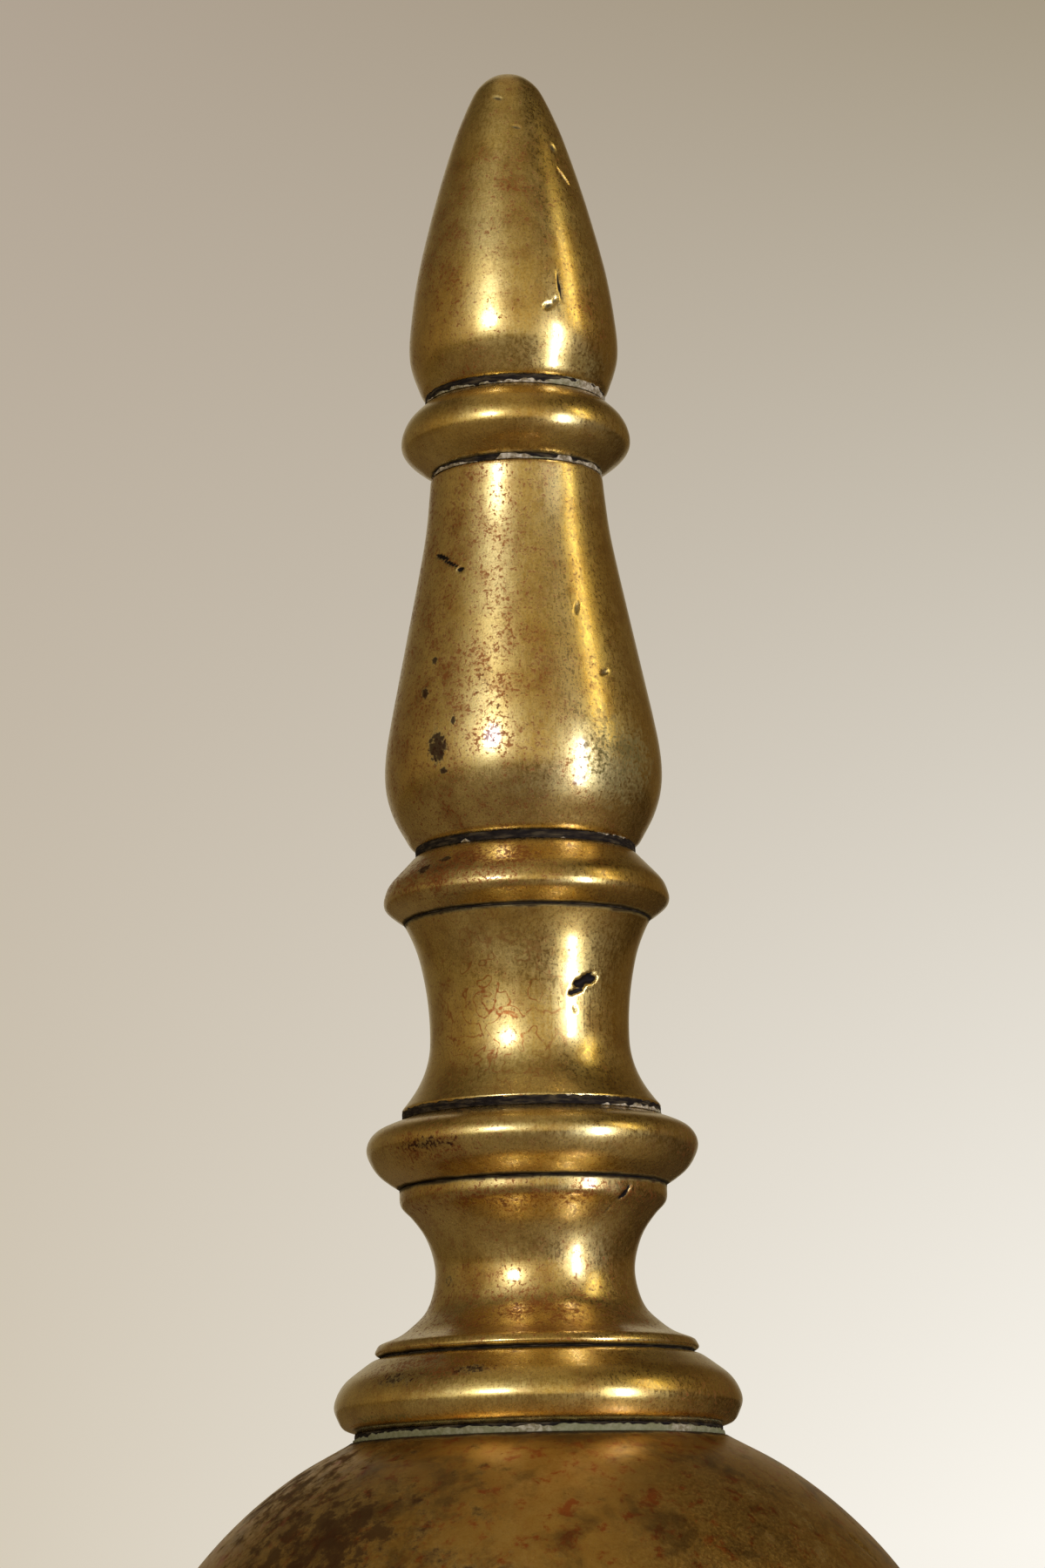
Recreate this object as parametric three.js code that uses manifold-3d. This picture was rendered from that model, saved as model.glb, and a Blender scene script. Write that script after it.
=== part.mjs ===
// An andiron: a turned brass column with a ball and a steeple finial, two arched brass legs,
// and the wrought iron billet bar behind them, which carries the logs.
// Millimetres, +Z up. The front faces -Y, and the bar runs back towards +Y.
import * as THREE from "three";
import { mergeVertices } from "three/addons/utils/BufferGeometryUtils.js";
import Module from "manifold-3d";

const wasm = await Module();
wasm.setup();

// ---------- Driving dimensions ----------

const INCH = 25.4;
const GAP = 0.3; // between pieces that touch
const SIDES = 24; // flats round a large turned piece
const SMALL_SIDES = 16; // flats round a small one

const BALL_RADIUS = 2.5 * INCH;
const BALL_CENTRE_Z = 437.5; // over the floor
const BALL_WALL = 3;
const BALL_LAND = 27; // radius of the flat at the ball's top and bottom
const BALL_LIP = 4; // height of the lower half's lip inside the upper half

const ROD_RADIUS = (3 / 8 / 2) * INCH;
const ROD_BORE = 5.1; // through every piece that the rod clamps
const ROD_BOTTOM_Z = 77;
const ROD_CHAMFER = 0.8;
const THREAD_DEPTH = 18; // of the blind hole in the finial's tip
const ROD_END_CLEARANCE = 0.5; // between the rod's end and the bottom of that hole
const DRILL_POINT = 1.5; // height of the cone that the drill leaves
const CAST_WALL = 4; // of the hollow castings

const PLINTH_TOP_Z = 147.2;
const PLINTH_BOTTOM_Z = 119;
const PLINTH_HALF = 50;
const PLINTH_WALL = 6; // round the two pockets under the plinth
const PLINTH_ROOF = 7;
const PLINTH_WEB_SPREAD = 2; // how far the middle web stands out past the legs' lugs

const LUG_TOP_Z = PLINTH_BOTTOM_Z - GAP;
const LUG_BOTTOM_Z = 76;
const LUG_HALF_DEPTH = 22;
const LUG_OUTER_X = 42;
const APRON_THICKNESS = 5;
const CHANNEL_HALF_WIDTH = 17; // the slot in the back of the legs that takes the bar's eye
const BOLT_X = 29;
const BOLT_RADIUS = 3;
const BOLT_TOP_Z = 134;
const BOLT_HEAD_ACROSS = 12;
const BOLT_HEAD_HEIGHT = 5;

const FOOT_X = 121;
const FOOT_Y = -18;
const FOOT_TOP_Z = 36;
const FOOT_RADIUS = 19;
const SPIGOT_RADIUS = 4.5;
const SPIGOT_LENGTH = 9; // of the hole; the spigot is 1 mm shorter

const BAR_TOP_Z = 105.7;
const BAR_HEIGHT = 24;
const BAR_WIDTH = 22;
const BAR_CHAMFER = 2;
const BAR_START_Y = 26; // where the bar has its full height, behind the legs
const BAR_END_Y = 560;
const EYE_RADIUS = 16;
const EYE_THICKNESS = 12;
const RAISED = 2; // how far the bar is upset under the log stop and at its rear end
const BOSS_HALF_LENGTH = 20; // of the upset under the log stop
const BOSS_SPREAD = 3;
const END_LENGTH = 32; // of the upset at the rear end
const END_SPREAD = 1;
const REAR_LEG_Y = 544;
const TENON = 12;

const STOP_Y = 118;
const STOP_SCALE = 0.4; // the log stop repeats the ball and finial at two fifths of their size
const STOP_BASE_HEIGHT = 18;
const STUD_RADIUS = INCH / 8;
const STUD_BORE = 3.55;
const STUD_BOTTOM_Z = 69;
const STUD_DEPTH = 15; // in the log stop's finial
const STUD_HOLE_DEPTH = 16;

const NUT_HEIGHT = 9;
const ROD_NUT_ACROSS = 17;
const STUD_NUT_ACROSS = 12;
const WASHER_HEIGHT = 2.5;
const ROD_WASHER_RADIUS = 12;
const STUD_WASHER_RADIUS = 9;

const FRONT_Y = -BALL_RADIUS;
const COLUMN_Y = -(BAR_END_Y + FRONT_Y) / 2; // puts the origin under the middle of the whole

// Heights of the seams between the finial's pieces, over the ball's centre.
const SEAM = {
  ball: 57.65,
  base: 69.5,
  lowerSpool: 93.58,
  middleRing: 104.15,
  upperSpool: 132.35,
  collar: 142.85,
  baluster: 199.7,
  bead: 211.1,
};
const APEX = 262.5;

// Heights of the seams lower down, under the ball's centre.
const LOWER_SEAM = {
  upperRing: -SEAM.middleRing,
  vase: -222.15,
  lowerRing: -233.15,
  foot: PLINTH_TOP_Z + GAP / 2 - BALL_CENTRE_Z,
};

// ---------- Materials ----------

function metal(color, roughness) {
  return new THREE.MeshStandardMaterial({ color, roughness, metalness: 1 });
}

const patinatedBrass = () => metal(0x8f7438, 0.34);
const ballBrass = () => metal(0x7a5f2d, 0.42);
const wroughtIron = () => metal(0x2a2725, 0.7);
const threadedIron = () => metal(0x55504a, 0.5);

// ---------- Geometry helpers ----------

function toVectors(points) {
  return points.map(([r, z]) => new THREE.Vector2(r, z));
}

// A smooth curve through a few points, given as radius and height.
function smooth(points, stepsEach) {
  const curve = new THREE.SplineCurve(toVectors(points));
  return curve.getPoints(stepsEach * (points.length - 1)).map((p) => [p.x, p.y]);
}

// Part of a circle round the origin, between two heights.
function ballArc(radius, fromZ, toZ, steps) {
  const from = Math.asin(fromZ / radius);
  const to = Math.asin(toZ / radius);
  return Array.from({ length: steps + 1 }, (_, i) => {
    const angle = from + ((to - from) * i) / steps;
    return [radius * Math.cos(angle), radius * Math.sin(angle)];
  });
}

function mirrored(outline) {
  return outline.map(([r, z]) => [r, -z]).reverse();
}

function scaled(outline, factor, lift = 0) {
  return outline.map(([r, z]) => [r * factor, z * factor + lift]);
}

function lathe(points, sides) {
  return new THREE.LatheGeometry(toVectors(points), sides).rotateX(Math.PI / 2);
}

// A turned ring: the outline runs up its outside, and a bore runs through it.
function ring(outline, bore, sides) {
  const bottom = outline[0][1];
  const top = outline.at(-1)[1];
  return lathe([[bore, bottom], ...outline, [bore, top], [bore, bottom]], sides);
}

// A cylinder along Z between two heights.
function post(radius, fromZ, toZ, sides = SMALL_SIDES) {
  const geometry = new THREE.CylinderGeometry(radius, radius, toZ - fromZ, sides);
  return geometry.rotateX(Math.PI / 2).translate(0, 0, (fromZ + toZ) / 2);
}

// A box given by its lowest and highest corners.
function block([x0, y0, z0], [x1, y1, z1]) {
  const geometry = new THREE.BoxGeometry(x1 - x0, y1 - y0, z1 - z0);
  return geometry.translate((x0 + x1) / 2, (y0 + y1) / 2, (z0 + z1) / 2);
}

function toSolid(geometry) {
  const plain = geometry.clone();
  plain.deleteAttribute("normal");
  plain.deleteAttribute("uv");
  const merged = mergeVertices(plain, 1e-4);
  const triVerts = new Uint32Array(merged.index.array);
  const vertProperties = merged.attributes.position.array;
  return new wasm.Manifold(new wasm.Mesh({ numProp: 3, vertProperties, triVerts }));
}

// The joined geometries with the others cut out of them.
function carve(joined, removed) {
  let body = joined.map(toSolid).reduce((a, b) => a.add(b));
  for (const tool of removed.map(toSolid)) body = body.subtract(tool);
  const { vertProperties, triVerts } = body.getMesh();
  const geometry = new THREE.BufferGeometry();
  geometry.setAttribute("position", new THREE.BufferAttribute(vertProperties, 3));
  geometry.setIndex(new THREE.BufferAttribute(triVerts, 1));
  return geometry;
}

function piece(name, geometry, material) {
  const mesh = new THREE.Mesh(geometry, material);
  mesh.name = name;
  return mesh;
}

// ---------- Outlines of the turned brass, over the ball's centre ----------

function tipOutline() {
  const bottom = SEAM.bead + GAP / 2;
  const side = [
    [13.7, 212.04],
    [15.1, 215.6],
    [15.6, 219.7],
    [14.5, 228.7],
    [12.66, 236.9],
    [10.4, 245.1],
    [7.95, 252.7],
    [5.95, 257.5],
  ];
  const dome = [[4.6, 260], [2.6, 261.75], [0, APEX]];
  return [[12.5, bottom], ...smooth(side, 2), ...dome];
}

function beadOutline() {
  const side = [
    [13.6, 200.42],
    [15.7, 202],
    [17, 203.8],
    [16.87, 206],
    [15.7, 208.2],
    [13.53, 210.23],
  ];
  return [[12.4, SEAM.baluster + GAP / 2], ...smooth(side, 2), [12.4, SEAM.bead - GAP / 2]];
}

function balusterOutline() {
  const side = [
    [16.66, 143.73],
    [18.9, 147.6],
    [20.25, 152.2],
    [20.1, 158],
    [18.3, 167.5],
    [15.84, 179.5],
    [13.7, 190.7],
    [12.83, 198.96],
  ];
  return [[15.4, SEAM.collar + GAP / 2], ...smooth(side, 2), [11.7, SEAM.baluster - GAP / 2]];
}

function collarOutline() {
  const lip = [[17.94, SEAM.upperSpool + GAP / 2], [19.2, 133.3], [20.75, 134.7]];
  const slope = [[20.91, 135.6], [20.3, 137.5], [18.9, 139.2], [16.2, 141.97]];
  return [...lip, ...smooth(slope, 2), [15, SEAM.collar - GAP / 2]];
}

function upperSpoolOutline() {
  const flare = [
    [18.92, 104.85],
    [16.4, 108.3],
    [14.64, 113.3],
    [14.76, 121],
    [16.1, 128],
    [17.87, 132.2],
  ];
  return [[18.2, SEAM.middleRing + GAP / 2], ...smooth(flare, 2)];
}

function middleRingOutline() {
  const side = [[19.44, 93.73], [22.4, 95.9], [24.03, 99.2], [22.7, 101.8], [18.92, 103.43]];
  return [...smooth(side, 2), [17.8, SEAM.middleRing - GAP / 2]];
}

function lowerSpoolOutline() {
  const lip = [[22.6, SEAM.base + GAP / 2], [23.42, 70.1], [22.8, 71.3]];
  const hollow = [[19.8, 72.5], [15.9, 75.9], [14.38, 81.5], [15.9, 87.1], [19.2, 91.3]];
  return [...lip, ...smooth(hollow, 2), [19.34, SEAM.lowerSpool - GAP / 2]];
}

function baseRingOutline() {
  const neck = [[25.5, SEAM.ball + GAP / 2], [25.8, 58.7]];
  const side = [[28, 59.6], [29.28, 62.5], [27.7, 66], [23.46, 69.16]];
  return [...neck, ...smooth(side, 2), [22.6, SEAM.base - GAP / 2]];
}

function vaseOutline() {
  const side = [
    [19.5, LOWER_SEAM.vase + GAP / 2],
    [17.2, -212],
    [20.4, -196],
    [28, -176],
    [34.4, -156],
    [34.6, -137],
    [27, -119],
    [19.4, -108],
  ];
  return [...smooth(side, 2), [18.9, LOWER_SEAM.upperRing - GAP / 2]];
}

function lowerRingOutline() {
  const side = [[24.2, LOWER_SEAM.lowerRing + 1], [28.4, -227.6], [21, LOWER_SEAM.vase - 1]];
  const bottom = [23, LOWER_SEAM.lowerRing + GAP / 2];
  return [bottom, ...smooth(side, 4), [19.8, LOWER_SEAM.vase - GAP / 2]];
}

function columnFootOutline() {
  const bottom = LOWER_SEAM.foot + GAP / 2;
  const base = [[43.5, bottom], [43.5, bottom + 3.5]];
  const bell = [[45.6, bottom + 6], [45.2, bottom + 12], [37.5, -266], [27.5, -252], [23.2, -240]];
  return [...base, ...smooth(bell, 2), [23, LOWER_SEAM.lowerRing - GAP / 2]];
}

// ---------- The finial and the ball ----------

function finialTip() {
  const bottom = SEAM.bead + GAP / 2;
  const end = bottom + THREAD_DEPTH;
  const blind = [[0, end + DRILL_POINT], [ROD_BORE, end], [ROD_BORE, bottom]];
  return lathe([...blind, ...tipOutline()], SIDES);
}

// The height at which a sphere of this radius has this distance from its axis.
function heightOn(radius, distance) {
  return Math.sqrt(radius ** 2 - distance ** 2);
}

function ballUpperShell() {
  const land = heightOn(BALL_RADIUS, BALL_LAND);
  const inner = BALL_RADIUS - BALL_WALL;
  const points = [
    ...ballArc(BALL_RADIUS, GAP / 2, land, 8),
    [ROD_BORE, land],
    [ROD_BORE, land - BALL_WALL],
    ...ballArc(inner, land - BALL_WALL, GAP / 2, 6),
  ];
  return lathe([...points, points[0]], SIDES);
}

function ballLowerShell() {
  const land = heightOn(BALL_RADIUS, BALL_LAND);
  const inner = BALL_RADIUS - BALL_WALL;
  const lipOutside = inner - 0.45;
  const lipInside = lipOutside - 2.5;
  const points = [
    ...ballArc(BALL_RADIUS, -land, -GAP / 2, 8),
    [lipOutside, -GAP / 2],
    [lipOutside, BALL_LIP],
    [lipInside, BALL_LIP],
    ...ballArc(inner, -heightOn(inner, lipInside), BALL_WALL - land, 5),
    [ROD_BORE, BALL_WALL - land],
    [ROD_BORE, -land],
  ];
  return lathe([...points, points[0]], SIDES);
}

// ---------- The column ----------

// A casting that is hollow between two lands, with an even wall.
function hollowCasting(outline) {
  const bottom = outline[0][1];
  const top = outline.at(-1)[1];
  const low = bottom + CAST_WALL;
  const high = top - CAST_WALL;
  const inside = outline
    .filter(([, z], i) => z > low + 2 && z < high - 2 && i % 2 === 0)
    .map(([r, z]) => [r - CAST_WALL, z])
    .reverse();
  const upper = [[ROD_BORE, top], [ROD_BORE, high], [inside[0][0], high]];
  const lower = [[inside.at(-1)[0], low], [ROD_BORE, low], [ROD_BORE, bottom]];
  return lathe([...outline, ...upper, ...inside, ...lower, outline[0]], SIDES);
}

// A square block with mitred mouldings is a lathe of four sides.
function plinth() {
  const corner = Math.SQRT2;
  const low = PLINTH_BOTTOM_Z;
  const high = PLINTH_TOP_Z;
  const sides = [
    [0, low],
    [PLINTH_HALF, low],
    [PLINTH_HALF, low + 8],
    [PLINTH_HALF - 2, low + 9.5],
    [PLINTH_HALF - 2.6, low + 14],
    [PLINTH_HALF - 5, low + 18],
    [PLINTH_HALF - 5, low + 20],
    [PLINTH_HALF - 3.6, low + 21.5],
    [PLINTH_HALF - 3.6, high],
    [0, high],
  ];
  const body = lathe(sides.map(([r, z]) => [r * corner, z]), 4).rotateZ(Math.PI / 4);
  const web = LUG_HALF_DEPTH + PLINTH_WEB_SPREAD;
  const wall = PLINTH_HALF - PLINTH_WALL;
  const roof = high - PLINTH_ROOF;
  const front = block([-wall, -wall, low - 1], [wall, -web, roof]);
  const back = block([-wall, web, low - 1], [wall, wall, roof]);
  const bolts = [-BOLT_X, BOLT_X].map((x) => boltHole(low - 1).translate(x, 0, 0));
  return carve([body], [front, back, post(ROD_BORE, low - 1, high + 1), ...bolts]);
}

function boltHole(fromZ) {
  return post(BOLT_RADIUS + GAP, fromZ, BOLT_TOP_Z + 1, 12);
}

// ---------- The rod and its fastenings ----------

function tieRod() {
  const top = BALL_CENTRE_Z + SEAM.bead + THREAD_DEPTH - ROD_END_CLEARANCE;
  const points = [
    [0, ROD_BOTTOM_Z],
    [ROD_RADIUS - ROD_CHAMFER, ROD_BOTTOM_Z],
    [ROD_RADIUS, ROD_BOTTOM_Z + ROD_CHAMFER],
    [ROD_RADIUS, top - ROD_CHAMFER],
    [ROD_RADIUS - ROD_CHAMFER, top],
    [0, top],
  ];
  return lathe(points, SIDES);
}

function washer(outer, bore, topZ) {
  return ring([[outer, topZ - WASHER_HEIGHT], [outer, topZ]], bore, SMALL_SIDES);
}

// A square nut, as a blacksmith makes it.
function squareNut(across, bore, topZ) {
  const half = across / 2;
  const body = block([-half, -half, topZ - NUT_HEIGHT], [half, half, topZ]);
  return carve([body], [post(bore, topZ - NUT_HEIGHT - 1, topZ + 1)]);
}

function legBolt() {
  const headTop = LUG_BOTTOM_Z - GAP;
  const half = BOLT_HEAD_ACROSS / 2;
  const head = block([-half, -half, headTop - BOLT_HEAD_HEIGHT], [half, half, headTop]);
  return carve([head, post(BOLT_RADIUS, headTop - 1, BOLT_TOP_Z, 12)], []);
}

// ---------- The legs and feet ----------

// Stations down the right leg: middle x and z, half height in the leg's plane, half depth.
const LEG_STATIONS = [
  { x: 38, z: 97.3, across: 21.2, deep: 21.8 },
  { x: 62, z: 97, across: 18.5, deep: 20.5 },
  { x: 84, z: 89, across: 15.5, deep: 17.5 },
  { x: 100, z: 73, across: 12.2, deep: 14 },
  { x: 107.5, z: 56, across: 9.6, deep: 11 },
  { x: 114, z: 43, across: 8.6, deep: 9.4 },
  { x: 124, z: 30, across: 8.8, deep: 9.2 },
];
const SECTION_SIDES = 16;
const SQUARENESS = 0.72; // of the section: 1 is an ellipse, and less is squarer

// One rounded section of the leg, square to its centre line.
function legSection(station, alongX, alongZ) {
  const startX = LEG_STATIONS[0].x;
  const share = (station.x - startX) / (LEG_STATIONS.at(-1).x - startX);
  const y = FOOT_Y * share;
  return Array.from({ length: SECTION_SIDES }, (_, i) => {
    const angle = (2 * Math.PI * i) / SECTION_SIDES;
    const c = Math.cos(angle);
    const s = Math.sin(angle);
    const u = station.across * Math.sign(c) * Math.abs(c) ** SQUARENESS;
    const v = station.deep * Math.sign(s) * Math.abs(s) ** SQUARENESS;
    return [station.x - alongZ * u, y + v, station.z + alongX * u];
  });
}

// The leg's swell, as closed rings of points joined one to the next, with a cap at each end.
function legSweep() {
  const centre = new THREE.SplineCurve(LEG_STATIONS.map((s) => new THREE.Vector2(s.x, s.z)));
  const size = new THREE.SplineCurve(LEG_STATIONS.map((s) => new THREE.Vector2(s.across, s.deep)));
  const steps = 2 * (LEG_STATIONS.length - 1);
  const positions = [];
  for (let i = 0; i <= steps; i += 1) {
    const at = centre.getPoint(i / steps);
    const half = size.getPoint(i / steps);
    const along = centre.getTangent(i / steps);
    const station = { x: at.x, z: at.y, across: half.x, deep: half.y };
    positions.push(...legSection(station, along.x, along.y).flat());
  }
  const index = [];
  for (let i = 0; i < steps; i += 1) {
    for (let j = 0; j < SECTION_SIDES; j += 1) {
      const a = i * SECTION_SIDES + j;
      const b = i * SECTION_SIDES + ((j + 1) % SECTION_SIDES);
      index.push(a, a + SECTION_SIDES, b, b, a + SECTION_SIDES, b + SECTION_SIDES);
    }
  }
  const last = steps * SECTION_SIDES;
  for (let j = 1; j < SECTION_SIDES - 1; j += 1) {
    index.push(0, j, j + 1);
    index.push(last, last + j + 1, last + j);
  }
  const geometry = new THREE.BufferGeometry();
  geometry.setAttribute("position", new THREE.Float32BufferAttribute(positions, 3));
  geometry.setIndex(index);
  return geometry;
}

// The right half of the apron: a thin front skirt with a drop in the middle, which hides the nut.
function apron() {
  const lowerEdge = [[GAP / 2, 60], [5, 61.5], [9, 67], [18, 72.5], [32, 76], [LUG_OUTER_X, 81]];
  const upperEdge = [[LUG_OUTER_X, 90], [GAP / 2, 90]];
  const shape = new THREE.Shape(toVectors([...smooth(lowerEdge, 2), ...upperEdge]));
  const geometry = new THREE.ExtrudeGeometry(shape, { depth: APRON_THICKNESS, bevelEnabled: false });
  return geometry.rotateX(Math.PI / 2).translate(0, APRON_THICKNESS - LUG_HALF_DEPTH, 0);
}

// The right leg: a lug under the plinth, with a slot at the back for the bar's eye.
function leg() {
  const lugStart = [GAP / 2, -LUG_HALF_DEPTH, LUG_BOTTOM_Z];
  const lug = block(lugStart, [LUG_OUTER_X, LUG_HALF_DEPTH, LUG_TOP_Z]);
  const slotFront = APRON_THICKNESS - LUG_HALF_DEPTH;
  const slotTop = BAR_TOP_Z + GAP;
  const slotBack = LUG_HALF_DEPTH + 8;
  const slot = block([-1, slotFront, LUG_BOTTOM_Z - 1], [CHANNEL_HALF_WIDTH, slotBack, slotTop]);
  const underFootTop = block([60, -60, 0], [180, 40, FOOT_TOP_Z]);
  const socket = post(SPIGOT_RADIUS + GAP, FOOT_TOP_Z - 1, FOOT_TOP_Z + SPIGOT_LENGTH, 12);
  const bolt = boltHole(LUG_BOTTOM_Z - 1).translate(BOLT_X, 0, 0);
  const rod = post(ROD_BORE, LUG_BOTTOM_Z - 1, LUG_TOP_Z + 1);
  socket.translate(FOOT_X, FOOT_Y, 0);
  return carve([lug, apron(), legSweep()], [slot, underFootTop, socket, bolt, rod]);
}

// A turned ball foot on a flat pad, with a spigot that goes up into the leg.
function ballFoot() {
  const top = FOOT_TOP_Z - GAP;
  const pad = [[0, 0], [15, 0], [16, 1.2], [16, 3.4], [13.6, 5]];
  const swell = [[15.4, 7.5], [FOOT_RADIUS, 17], [16.4, 27.5], [11.5, 32]];
  const neck = [[10.2, 33], [10.2, top], [SPIGOT_RADIUS, top]];
  const spigotTop = top + SPIGOT_LENGTH - 1;
  const spigot = [[SPIGOT_RADIUS, spigotTop], [0, spigotTop]];
  return lathe([...pad, ...smooth(swell, 3), ...neck, ...spigot], SMALL_SIDES);
}

// ---------- The billet bar and its rear leg ----------

// A bar along Y with its long edges taken off.
function chamferedBar(width, lowZ, highZ, fromY, toY) {
  const half = width / 2;
  const c = BAR_CHAMFER;
  const section = new THREE.Shape(
    toVectors([
      [-half + c, lowZ],
      [half - c, lowZ],
      [half, lowZ + c],
      [half, highZ - c],
      [half - c, highZ],
      [-half + c, highZ],
      [-half, highZ - c],
      [-half, lowZ + c],
    ]),
  );
  const geometry = new THREE.ExtrudeGeometry(section, { depth: toY - fromY, bevelEnabled: false });
  return geometry.rotateX(Math.PI / 2).translate(0, toY, 0);
}

function billetBar() {
  const bottom = BAR_TOP_Z - BAR_HEIGHT;
  const eyeBottom = BAR_TOP_Z - EYE_THICKNESS;
  const eye = post(EYE_RADIUS, eyeBottom, BAR_TOP_Z, SIDES);
  const neck = block([-BAR_WIDTH / 2, 0, eyeBottom], [BAR_WIDTH / 2, BAR_START_Y + 1, BAR_TOP_Z]);
  const bar = chamferedBar(BAR_WIDTH, bottom, BAR_TOP_Z, BAR_START_Y, BAR_END_Y);
  const raised = BAR_TOP_Z + RAISED;
  const bossStart = STOP_Y - BOSS_HALF_LENGTH;
  const bossEnd = STOP_Y + BOSS_HALF_LENGTH;
  const boss = chamferedBar(BAR_WIDTH + 2 * BOSS_SPREAD, bottom, raised, bossStart, bossEnd);
  const endWidth = BAR_WIDTH + 2 * END_SPREAD;
  const end = chamferedBar(endWidth, bottom, raised, BAR_END_Y - END_LENGTH, BAR_END_Y);
  const half = TENON / 2 + GAP;
  const mortise = block([-half, REAR_LEG_Y - half, 0], [half, REAR_LEG_Y + half, 200]);
  const studHole = post(STUD_BORE, 0, 200).translate(0, STOP_Y, 0);
  return carve([eye, neck, bar, boss, end], [post(ROD_BORE, 0, 200), mortise, studHole]);
}

// The rear leg: a square post with a spread foot, and a tenon riveted over on top of the bar.
function rearLeg() {
  const shoulder = BAR_TOP_Z - BAR_HEIGHT - GAP;
  const top = BAR_TOP_Z + RAISED;
  const side = [
    [-19, 0],
    [16, 0],
    [16, 6],
    [11, 12],
    [10.5, shoulder],
    [-10.5, shoulder],
    [-11, 24],
    [-15, 10],
    [-19, 6],
  ];
  const shape = new THREE.Shape(toVectors(side));
  const stem = new THREE.ExtrudeGeometry(shape, { depth: BAR_WIDTH, bevelEnabled: false });
  stem.rotateX(Math.PI / 2).rotateZ(Math.PI / 2).translate(-BAR_WIDTH / 2, REAR_LEG_Y, 0);
  const half = TENON / 2;
  const tenon = block([-half, REAR_LEG_Y - half, shoulder - 1], [half, REAR_LEG_Y + half, top + 1]);
  const dome = [[0, GAP], [9.5, GAP], [8.6, 2.6], [5, 4.6], [0, 5.2]];
  const head = lathe(dome, 12).translate(0, REAR_LEG_Y, top);
  return carve([stem, tenon, head], []);
}

// ---------- The log stop ----------

const STOP_BASE_Z = BAR_TOP_Z + RAISED + GAP;
const STOP_LAND = heightOn(BALL_RADIUS, BALL_LAND) * STOP_SCALE;
const STOP_BALL_Z = STOP_BASE_Z + STOP_BASE_HEIGHT + GAP + STOP_LAND;

function stopBase() {
  const z = STOP_BASE_Z;
  const foot = [[14, z], [14.6, z + 1], [14.6, z + 3]];
  const hollow = [[13, z + 4.6], [7.4, z + 9], [8.2, z + 13]];
  const bead = [[10.6, z + 14.6], [11.8, z + 16], [10.8, z + STOP_BASE_HEIGHT]];
  return ring([...foot, ...smooth(hollow, 2), ...bead], STUD_BORE, SMALL_SIDES);
}

function stopBall() {
  const outline = ballArc(BALL_RADIUS * STOP_SCALE, -STOP_LAND, STOP_LAND, 10);
  return ring(outline, STUD_BORE, SMALL_SIDES).translate(0, 0, STOP_BALL_Z);
}

const STOP_FINIAL_BOTTOM = 58.4; // over the ball's centre, at the size of the large finial

// One casting with the finial's mouldings: ring, spool, ring, baluster, bead and tip.
function stopFinial() {
  const outline = [
    [25.5, STOP_FINIAL_BOTTOM],
    [29.28, 62.5],
    [23.4, 69.3],
    [15.9, 75.9],
    [14.38, 81.5],
    [19.2, 91.6],
    [24, 98.8],
    [19, 104],
    [14.7, 112],
    [14.7, 120],
    [17.8, 132.3],
    [20.9, 135.8],
    [16, 142.4],
    [20.2, 153],
    [18.3, 167.5],
    [12.8, 198.8],
    [12.6, 200],
    [17, 204.6],
    [13.2, 210.8],
    [15.6, 219.4],
    [12.7, 236.9],
    [7.95, 252.7],
    [4.6, 260],
    [0, APEX],
  ];
  const outside = scaled(outline, STOP_SCALE, STOP_BALL_Z);
  const bottom = outside[0][1];
  const end = bottom + STUD_HOLE_DEPTH;
  const blind = [[0, end + 1], [STUD_BORE, end], [STUD_BORE, bottom]];
  return lathe([...blind, ...outside], SMALL_SIDES);
}

function stopStud() {
  const finialBottom = STOP_BALL_Z + STOP_FINIAL_BOTTOM * STOP_SCALE;
  return post(STUD_RADIUS, STUD_BOTTOM_Z, finialBottom + STUD_DEPTH);
}

// ---------- Assembly ----------

const andiron = new THREE.Group();
andiron.position.set(0, COLUMN_Y, 0);

const stack = new THREE.Group();
stack.position.z = BALL_CENTRE_Z;
andiron.add(stack);

const turnedRings = {
  tip_bead: beadOutline(),
  finial_baluster: balusterOutline(),
  baluster_collar: collarOutline(),
  upper_spool: upperSpoolOutline(),
  middle_ring: middleRingOutline(),
  lower_spool: lowerSpoolOutline(),
  finial_base_ring: baseRingOutline(),
  ball_neck_ring: mirrored(baseRingOutline()),
  neck_spool: mirrored(lowerSpoolOutline()),
  column_upper_ring: mirrored(middleRingOutline()),
  column_lower_ring: lowerRingOutline(),
};
for (const [name, outline] of Object.entries(turnedRings)) {
  stack.add(piece(name, ring(outline, ROD_BORE, SIDES), patinatedBrass()));
}
stack.add(piece("finial_tip", finialTip(), patinatedBrass()));
stack.add(piece("ball_upper_shell", ballUpperShell(), ballBrass()));
stack.add(piece("ball_lower_shell", ballLowerShell(), ballBrass()));
stack.add(piece("column_vase", hollowCasting(vaseOutline()), patinatedBrass()));
stack.add(piece("column_foot", hollowCasting(columnFootOutline()), patinatedBrass()));

andiron.add(piece("plinth", plinth(), patinatedBrass()));

const eyeBottomZ = BAR_TOP_Z - EYE_THICKNESS;
andiron.add(piece("tie_rod", tieRod(), threadedIron()));
const rodWasher = washer(ROD_WASHER_RADIUS, ROD_BORE, eyeBottomZ - GAP);
andiron.add(piece("tie_rod_washer", rodWasher, threadedIron()));
const rodNutTop = eyeBottomZ - WASHER_HEIGHT - 2 * GAP;
const rodNut = squareNut(ROD_NUT_ACROSS, ROD_BORE, rodNutTop);
andiron.add(piece("tie_rod_nut", rodNut, threadedIron()));

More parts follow.
